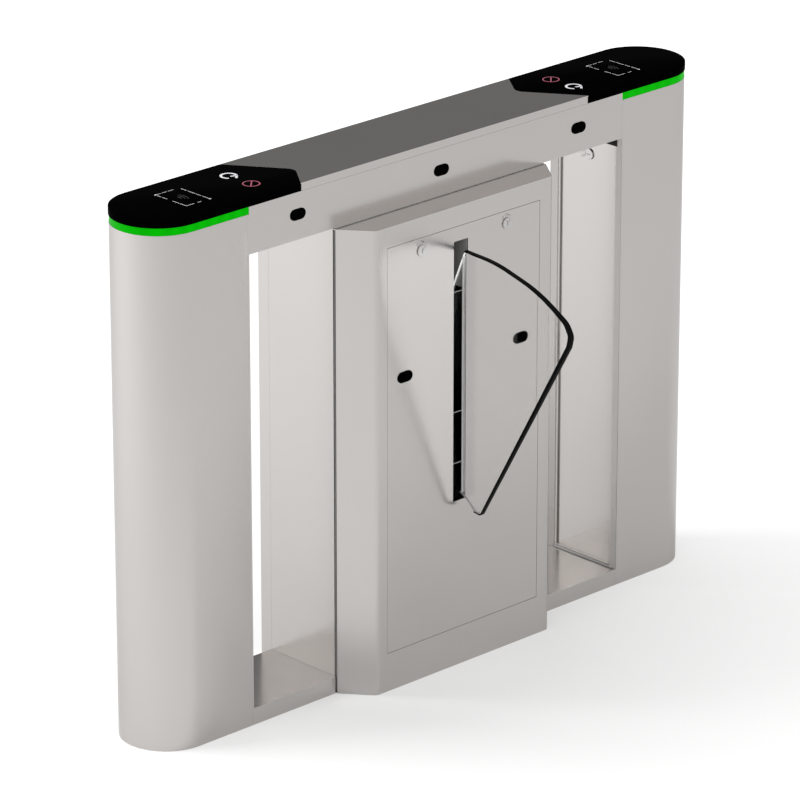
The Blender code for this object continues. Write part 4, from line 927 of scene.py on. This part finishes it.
# Gaps, depths and heights of the seals, beads and liners, in metres
HAIR = 0.0002
EDGE_GAP = 0.0003
CLEARANCE = 0.0004
FOOT_GAP = 0.002
HEAD_GAP = 0.003
BEAM_SEAL_SHORT = 0.0027
BEAM_SEAL_DEPTH = 0.004
CORNER_SEAL_SHORT = 0.0007
CORNER_SEAL_WIDTH = 0.005
DOOR_SEAM = 0.0004
DOOR_GASKET_HALF = 0.00022
DOOR_GASKET_DEPTH = 0.012
DEEP_GASKET = 0.0010
REAR_TRIM_DEPTH = 0.0095
BEAD_PROUD = 0.00012
BEAD_WIDTH = 0.0014
TOWER_BEND = 0.0042
LINER_HEIGHTS = (0.345, 0.810)
GUIDE_GAP = 0.0014
GUIDE_HEIGHTS = (0.335, 0.745)
BACK_PLATE_HEIGHTS = (0.747, 0.8445)
CLIP_HEIGHTS = (0.4076, 0.5090, 0.7455)
CLIP_START = -0.0265
WING_FOOT = (
    (-0.1404, 0.3443), (-0.1511, 0.3390), (-0.1610, 0.3325), (-0.1702, 0.3249), (-0.1783, 0.3163),
    (-0.1921, 0.3148),
)
WING_BACK = ((-0.1500, 0.8162), (-0.1130, 0.7275))


def shell_steel():
    """The finish that the towers' shells wear."""
    return NODES["tower_near_shell"].material_slots[0].material


class PEDESTAL_OT_seals(bpy.types.Operator):
    """Seals in the seams of the housing, door, panels and slot"""

    bl_idname = "pedestal.seals"
    bl_label = "Seals"

    def execute(self, context):
        sizes = context.scene.pedestal_sizes
        pale = self.seal_material("pale door gasket", 0.46)
        self.housing_seals(sizes.seal_recess)
        self.door_gasket(sizes.seal_recess, pale)
        self.panel_seals(sizes.trim_width, pale)
        self.seam_beads()
        self.slot_liners(pale)
        self.wing_films()
        return {"FINISHED"}

    def seal_material(self, name, grey):
        """Grey rubber of that depth."""
        return finish_material(
            name, (grey, grey * 0.985, grey * 0.97), 0.6, cells=1400.0, contrast=0.12, clouding=0.06,
            bump=0.2, edge=0.0002, wear=0.2, worn=(grey, grey, grey),
            sockets={"Specular IOR Level": 0.2},
        )

    def painted_glow_material(self, name, colour, roughness, glow_colour, glow, **look):
        """A pale finish with a painted glow: its emission stands in for light it would catch."""
        return finish_material(
            name, colour, roughness, cells=900.0, edge=0.0001, wear=0.1, worn=(0.7, 0.7, 0.7),
            sockets={"Emission Color": (*glow_colour, 1.0), "Emission Strength": glow}, **look)

    def housing_seals(self, recess):
        """One under the beam along the shelf, and one up each front corner of the housing, whose grey is
        partly seal and partly painted shade of the gap.
        """
        wall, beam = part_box("housing_side_left")[0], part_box("beam_channel")[0]
        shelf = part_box("front_cover")[1].z
        front, half = beam.y + recess, -wall.x - BEAM_SEAL_SHORT
        mesh = bmesh.new()
        back = front + BEAM_SEAL_DEPTH
        add_strip(mesh, "X", (front, shelf + HAIR), (back, beam.z - HAIR), -half, half, 0.0006)
        new_piece("beam_seal", mesh, self.seal_material("pale beam seal", 0.60), "pedestal")
        mesh = bmesh.new()
        # The corner strips' grey stands in for the shade in the gaps: partly seal, partly painted shade.
        reach = -wall.x - CORNER_SEAL_SHORT
        for sign in (-1, 1):
            corner = (sign * reach, wall.y - CORNER_SEAL_WIDTH)
            opposite = (sign * (reach - CORNER_SEAL_WIDTH), wall.y - CLEARANCE)
            add_strip(mesh, "Z", corner, opposite, wall.z + FOOT_GAP, shelf - HEAD_GAP, 0.0008)
        light = self.seal_material("grey corner seal, painted gap shade", 0.20)
        new_piece("housing_corner_seals_and_shade", mesh, light, "pedestal")

    def door_gasket(self, recess, pale):
        """A thin gasket in the seam all round the door; it lies deeper at the right and the top, where it is
        painted dark grey as painted shade of the seam, and it is pale at the left and the bottom.
        """
        low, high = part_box("front_door")
        left, right = low.x - DOOR_SEAM, high.x + DOOR_SEAM
        bottom, top = low.z - DOOR_SEAM, high.z + DOOR_SEAM
        half, depth = DOOR_GASKET_HALF, low.y + DOOR_GASKET_DEPTH
        # The right and top lengths of the same gasket are painted dark grey: painted seam shade.
        dark = self.seal_material("dark grey gasket, painted seam shade", 0.10)
        for name, x, z, front, material in (
                ("left_and_bottom", left, bottom, low.y + recess / 2, pale),
                ("right_and_top_painted_shade", right, top, low.y + DEEP_GASKET, dark)):
            mesh = bmesh.new()
            add_strip(mesh, "Z", (x - half, front), (x + half, depth), bottom, top)
            add_strip(mesh, "X", (front, z - half), (depth, z + half), left + 2 * half, right - 2 * half)
            new_piece("door_gasket_" + name, mesh, material, "pedestal")

    def panel_seals(self, reach, pale):
        """On each tower's inner face: a black strip under the beam that is painted shade, a floor seal, and
        trims on its front and rear edges; the front one is a paler, matter copy of the steel, painted light.
        """
        # The lip trim is painted light: a paler, rougher, half-metal copy of the steel that lightens the
        # lip's dark reflection.
        trim = finish_material(
            "pale satin trim, painted light", (0.64, 0.62, 0.60), 0.42, cells=(900.0, 900.0, 30.0), contrast=0.02, spread=0.02,
            bump=0.05, edge=0.0002, wear=0.1, worn=(0.58, 0.57, 0.55), sockets={"Metallic": 0.6},
        )
        # The black strip fills the gap under the beam as painted shade.
        black = self.seal_material("black head gap, painted shade", 0.012)
        steel = shell_steel()
        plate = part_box("sill_right_front")[1].z
        beam_low, beam_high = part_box("beam_channel")
        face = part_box("tower_far_shell")[0].x
        for sign, name in ((-1, "near"), (1, "far")):
            panel_low, panel_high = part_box("tower_%s_panel" % name)
            strips = (
                ("head_gap_shade_", black, "Y", 0.0005, face - CLEARANCE, face - 0.0020,
                 panel_high.z + 0.0012, beam_low.z - CLEARANCE, panel_low.y - 0.004, panel_high.y + 0.004),
                ("floor_seal_", pale, "Y", 0.0008, face - CLEARANCE, face - 0.0030,
                 plate + HAIR, plate + 0.0036, panel_low.y - 0.008, panel_high.y + 0.004),
                ("lip_painted_light_", trim, "Z", 0.0002, face + 0.0001, face - 0.0005,
                 beam_low.y + EDGE_GAP, panel_low.y - 0.0012, plate + EDGE_GAP, beam_low.z - EDGE_GAP),
            )
            for label, material, axis, bevel, outer, inner, low, high, start, end in strips:
                mesh = bmesh.new()
                add_strip(mesh, axis, (sign * outer, low), (sign * inner, high), start, end, bevel)
                new_piece(label + name, mesh, material, "pedestal")
            back = beam_high.y - EDGE_GAP
            outline = (
                (face + HAIR, beam_high.y - REAR_TRIM_DEPTH), (face - reach, back - EDGE_GAP),
                (face - reach, back), (face + HAIR, back),
            )
            mesh = bmesh.new()
            add_bar(mesh, "Z", [(sign * x, y) for x, y in outline], plate + EDGE_GAP, beam_low.z - CLEARANCE)
            new_piece("rear_trim_" + name, mesh, steel, "pedestal")

    def seam_beads(self):
        """Flat steel beads down the towers' inner corners and over the seams behind the housing walls."""
        steel = shell_steel()
        beam_low, beam_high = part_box("beam_channel")
        wall_low, wall_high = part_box("housing_side_left")
        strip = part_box("light_strip_near")[0].z
        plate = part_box("sill_right_front")[1].z
        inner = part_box("tower_far_shell")[0].x
        beads = (
            (-BEAD_WIDTH, beam_low.z, strip - EDGE_GAP), (EDGE_GAP, plate, beam_low.z),
            (-BEAD_WIDTH, 0.0004, plate),
        )
        mesh = bmesh.new()
        for sign in (-1, 1):
            for side in (-1, 1):
                faces = (side * (beam_high.y + BEAD_PROUD), side * (beam_high.y - BEAD_PROUD))
                for reach, low, high in beads:
                    corner = (sign * (inner + TOWER_BEND), faces[0])
                    add_strip(mesh, "Z", corner, (sign * (inner + reach), faces[1]), low, high)
            add_strip(
                mesh, "Z", (sign * (-wall_low.x + BEAD_PROUD), wall_high.y - BEAD_WIDTH / 2),
                (sign * (-wall_low.x - BEAD_PROUD), wall_high.y + BEAD_WIDTH),
                plate + 0.0005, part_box("front_cover")[1].z - HEAD_GAP)
        new_piece("seam_beads", mesh, steel, "pedestal")

    def slot_liners(self, pale):
        """Pale liners with a painted glow beside the wing in the door slot, a plate behind its top, and
        three clips.
        """
        wing_low, wing_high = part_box("wing_panel")
        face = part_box("front_door")[0].y
        guide = wing_high.x + GUIDE_GAP
        # The liner's faint emission is a painted glow that lightens it in the slot's shade.
        liner = self.painted_glow_material(
            "pale liner, painted glow", (0.80, 0.79, 0.78), 0.6, (1.0, 0.98, 0.96), 0.08, contrast=0.06, bump=0.1)
        plate = self.seal_material("dark plate", 0.35)
        mesh = bmesh.new()
        add_strip(
            mesh, "Z", (wing_low.x - 0.0010, face + 0.0005), (wing_low.x - HAIR, face + 0.0030),
            *LINER_HEIGHTS, 0.0003)
        add_strip(
            mesh, "Z", (wing_high.x + HAIR, face + 0.0005), (wing_high.x + 0.0006, face + 0.0070),
            *LINER_HEIGHTS, 0.0001)
        new_piece("wing_root_liner", mesh, liner, "wing")
        for name, material, width, depth, heights, bevel in (
                ("slot_guide", pale, 0.012, 0.0115, GUIDE_HEIGHTS, 0.0008),
                ("slot_back_plate", plate, 0.001, 0.044, BACK_PLATE_HEIGHTS, 0.0004)):
            mesh = bmesh.new()
            add_strip(mesh, "Z", (guide, face + 0.0023), (guide + width, face + depth), *heights, bevel)
            new_piece(name, mesh, material, "pedestal")
        mesh = bmesh.new()
        for height in CLIP_HEIGHTS:
            add_strip(
                mesh, "X", (face + 0.0010, height), (face + 0.0024, height + 0.0014),
                CLIP_START, wing_low.x - 0.0025, 0.0004)
        new_piece("slot_clips", mesh, pale, "pedestal")

    def wing_films(self):
        """Thin films on the clear pane's bare edges: one under its foot, and one down its back that is
        bright with a painted glow.
        """
        low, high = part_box("wing_panel")
        foot = self.seal_material("foot film", 0.62)
        # The back film's emission is a painted glow, standing in for the light that the pane's edge would
        # catch.
        back = self.painted_glow_material(
            "pale edge, painted glow", (0.80, 0.80, 0.80), 0.5, (1.0, 1.0, 1.0), 0.6, contrast=0.1, bump=0.2)
        for name, edge, inward, outward, material in (
                ("wing_foot_film", WING_FOOT, (-0.0001, 0.0001), (0.0002, -0.0003), foot),
                ("wing_back_film", WING_BACK, (0.0, 0.0), (0.0006, 0.00025), back)):
            profile = [(y + inward[0], z + inward[1]) for y, z in edge]
            profile += [(y + outward[0], z + outward[1]) for y, z in edge[::-1]]
            mesh = bmesh.new()
            add_bar(mesh, "X", profile, low.x, high.x)
            new_piece(name, mesh, material, "wing")


class PEDESTAL_OT_drive(bpy.types.Operator):
    """Machined, cast and plated finishes on the drive"""

    bl_idname = "pedestal.drive"
    bl_label = "Drive"

    def execute(self, context):
        plated = finish_material(
            "zinc plate", (0.50, 0.51, 0.52), 0.38, cells=260.0, contrast=0.10, clouding=0.10,
            spread=0.06, bump=0.06, edge=0.0008, wear=0.4, worn=(0.66, 0.66, 0.67), dust=0.10,
            sockets=METAL,
        )
        machined = finish_material(
            "machined steel", (0.36, 0.36, 0.37), 0.30, cells=(40.0, 900.0, 900.0), contrast=0.12,
            clouding=0.08, spread=0.06, bump=0.10, edge=0.0005, wear=0.5, worn=(0.60, 0.60, 0.60),
            sockets=METAL,
        )
        cast = finish_material(
            "cast alloy", (0.42, 0.42, 0.43), 0.50, cells=600.0, contrast=0.15, clouding=0.10,
            spread=0.08, bump=0.45, edge=0.0010, wear=0.5, worn=(0.62, 0.62, 0.62), dust=0.10,
            sockets={"Metallic": 0.9},
        )
        rubber = finish_material(
            "buffer rubber", (0.02, 0.02, 0.02), 0.65, cells=900.0, contrast=0.2,
            bump=0.2, wear=0.2, worn=(0.06, 0.06, 0.06), dust=0.1,
        )
        dress(CHEEKS + HINGES, plated)
        dress(GEARS, machined)
        dress(BEARINGS + ("gearmotor",), cast)
        dress(STOPS, rubber)
        return {"FINISHED"}


class PEDESTAL_OT_electronics(bpy.types.Operator):
    """Board, supply, card readers and indicators"""

    bl_idname = "pedestal.electronics"
    bl_label = "Electronics"

    def execute(self, context):
        board = finish_material(
            "board resist", (0.012, 0.11, 0.04), 0.35, cells=420.0, contrast=0.30,
            bump=0.2, wear=0.2, worn=(0.25, 0.2, 0.05), dust=0.1,
        )
        plastic = finish_material(
            "dark moulding", (0.025, 0.025, 0.028), 0.42, cells=1500.0, contrast=0.2,
            bump=0.25, wear=0.3, worn=(0.08, 0.08, 0.08), dust=0.1,
        )
        supply = finish_material(
            "perforated supply case", (0.46, 0.47, 0.48), 0.42, cells=240.0, contrast=0.12,
            clouding=0.08, spread=0.06, bump=0.1, wear=0.4, worn=(0.62, 0.62, 0.62), dust=0.15,
            sockets=METAL,
        )
        dress(("control_board",), board)
        dress(INSIDE_PLASTIC, plastic)
        dress(("power_supply",), supply)
        return {"FINISHED"}


# Studio

DARK_SIDE_WAY = (0.66, 0.66, 0.36)


def mix_shaders(tree, share, under, over):
    """Mixes a shader over another by a share; gives the result socket."""
    node = tree.nodes.new("ShaderNodeMixShader")
    for socket, value in zip(node.inputs, (share, under, over)):
        tree.links.new(value, socket)
    return node.outputs["Shader"]


def studio_floor(settings):
    """A white floor that keeps the pedestal's shadow."""
    material, tree, shader = new_material("white floor")
    tree.nodes.remove(shader)
    matte = tree.nodes.new("ShaderNodeBsdfDiffuse")
    matte.inputs["Color"].default_value = (0.94, 0.94, 0.94, 1.0)
    plain = tree.nodes.new("ShaderNodeEmission")
    plain.inputs["Strength"].default_value = settings.floor_level
    rays = tree.nodes.new("ShaderNodeLightPath")
    seen = math_node(tree, "MAXIMUM", rays.outputs["Is Camera Ray"], rays.outputs["Is Transmission Ray"])
    away = vector_node(tree, "LENGTH", object_place(tree), result="Value")
    near, far = settings.floor_clear
    white = spread_node(tree, away, near, far, settings.floor_white, 1.0)
    seen = math_node(tree, "MULTIPLY", seen, white)
    mirrored = math_node(tree, "MULTIPLY", rays.outputs["Is Glossy Ray"], settings.floor_mirrored)
    share = math_node(tree, "MAXIMUM", seen, mirrored)
    blend = mix_shaders(tree, share, matte.outputs["BSDF"], plain.outputs["Emission"])
    tree.links.new(blend, tree.nodes["Material Output"].inputs["Surface"])
    mesh = bmesh.new()
    bmesh.ops.create_grid(mesh, x_segments=8, y_segments=8, size=settings.floor_size / 2)
    mesh_object("studio_floor", mesh, material)


def studio_world(settings):
    """White to the eye, a room with one dark side to gloss and metal, and a soft light on everything."""
    world = bpy.data.worlds.new("studio")
    bpy.context.scene.world = world
    world.use_nodes = True
    tree = world.node_tree
    tree.nodes.clear()
    sink = tree.nodes.new("ShaderNodeOutputWorld")
    rays = tree.nodes.new("ShaderNodeLightPath")
    white = tree.nodes.new("ShaderNodeBackground")
    white.inputs["Color"].default_value = (1.0, 1.0, 1.0, 1.0)
    room = tree.nodes.new("ShaderNodeBackground")
    room.inputs["Strength"].default_value = settings.room_level
    gloss = tree.nodes.new("ShaderNodeBackground")
    way = tree.nodes.new("ShaderNodeTexCoord").outputs["Generated"]
    turn = vector_node(tree, "DOT_PRODUCT", way, DARK_SIDE_WAY, result="Value")
    ramp = tree.nodes.new("ShaderNodeValToRGB")
    stops = ramp.color_ramp.elements
    for stop, position, level in zip(stops, (0.15, 0.80), (settings.room_bright, settings.room_dark)):
        stop.position = position
        stop.color = (level, level, level, 1.0)
    tree.links.new(turn, ramp.inputs["Fac"])
    tree.links.new(ramp.outputs["Color"], gloss.inputs["Color"])
    by_gloss = mix_shaders(
        tree, rays.outputs["Is Glossy Ray"], room.outputs["Background"], gloss.outputs["Background"])
    seen = math_node(tree, "MAXIMUM", rays.outputs["Is Camera Ray"], rays.outputs["Is Transmission Ray"])
    by_eye = mix_shaders(tree, seen, by_gloss, white.outputs["Background"])
    tree.links.new(by_eye, sink.inputs["Surface"])


def soft_lamp(name, place, aim, size, power):
    """A large square lamp that points at a place."""
    data = bpy.data.lights.new(name, "AREA")
    data.shape = "SQUARE"
    data.size = size
    data.energy = power
    add_object(name, data, place, aim)


class PEDESTAL_OT_stage(bpy.types.Operator):
    """White floor, soft lamps and the camera"""

    bl_idname = "pedestal.stage"
    bl_label = "Studio"

    def execute(self, context):
        settings = context.scene.pedestal_stage
        studio_floor(settings)
        studio_world(settings)
        soft_lamp("lamp_left", (-3.3, 2.6, 4.2), (0, 0, 0.3), 2.4, settings.key_power)
        soft_lamp("lamp_overhead", (-0.6, -0.4, 5.5), (0, 0, 0.5), 4.0, settings.fill_power)
        data = bpy.data.cameras.new("camera")
        data.lens = settings.lens
        data.sensor_width = 36.0
        data.clip_end = 200.0
        context.scene.camera = add_object("camera", data, settings.camera_place, settings.camera_aim)
        context.scene.view_settings.view_transform = "Standard"
        return {"FINISHED"}


PIECES = (
    PEDESTAL_OT_stage, PEDESTAL_OT_steel, PEDESTAL_OT_caps, PEDESTAL_OT_strips, PEDESTAL_OT_marks,
    PEDESTAL_OT_sensors, PEDESTAL_OT_locks, PEDESTAL_OT_wing, PEDESTAL_OT_seals, PEDESTAL_OT_drive,
    PEDESTAL_OT_electronics,
)


class PEDESTAL_PT_panel(bpy.types.Panel):
    """Every piece of the pedestal, its sizes and its colours"""

    bl_idname = "PEDESTAL_PT_panel"
    bl_label = "Flap Barrier Pedestal"
    bl_space_type = "VIEW_3D"
    bl_region_type = "UI"
    bl_category = "Pedestal"

    def draw(self, context):
        layout = self.layout
        for piece in PIECES:
            layout.operator(piece.bl_idname)
        for settings in SETTINGS:
            group = getattr(context.scene, settings)
            box = layout.box()
            for name in group.bl_rna.properties.keys():
                if name not in ("rna_type", "name"):
                    box.prop(group, name)


SETTINGS = {
    "pedestal_finishes": PedestalFinishes,
    "pedestal_sizes": PedestalSizes,
    "pedestal_stage": PedestalStage,
}


def register():
    for name, group in SETTINGS.items():
        bpy.utils.register_class(group)
        setattr(bpy.types.Scene, name, PointerProperty(type=group))
    for piece in PIECES:
        bpy.utils.register_class(piece)
    bpy.utils.register_class(PEDESTAL_PT_panel)


def unregister():
    bpy.utils.unregister_class(PEDESTAL_PT_panel)
    for piece in reversed(PIECES):
        bpy.utils.unregister_class(piece)
    for name, group in reversed(SETTINGS.items()):
        delattr(bpy.types.Scene, name)
        bpy.utils.unregister_class(group)


def main():
    register()
    for piece in PIECES:
        family, action = piece.bl_idname.split(".")
        getattr(getattr(bpy.ops, family), action)()


if __name__ == "__main__":
    main()
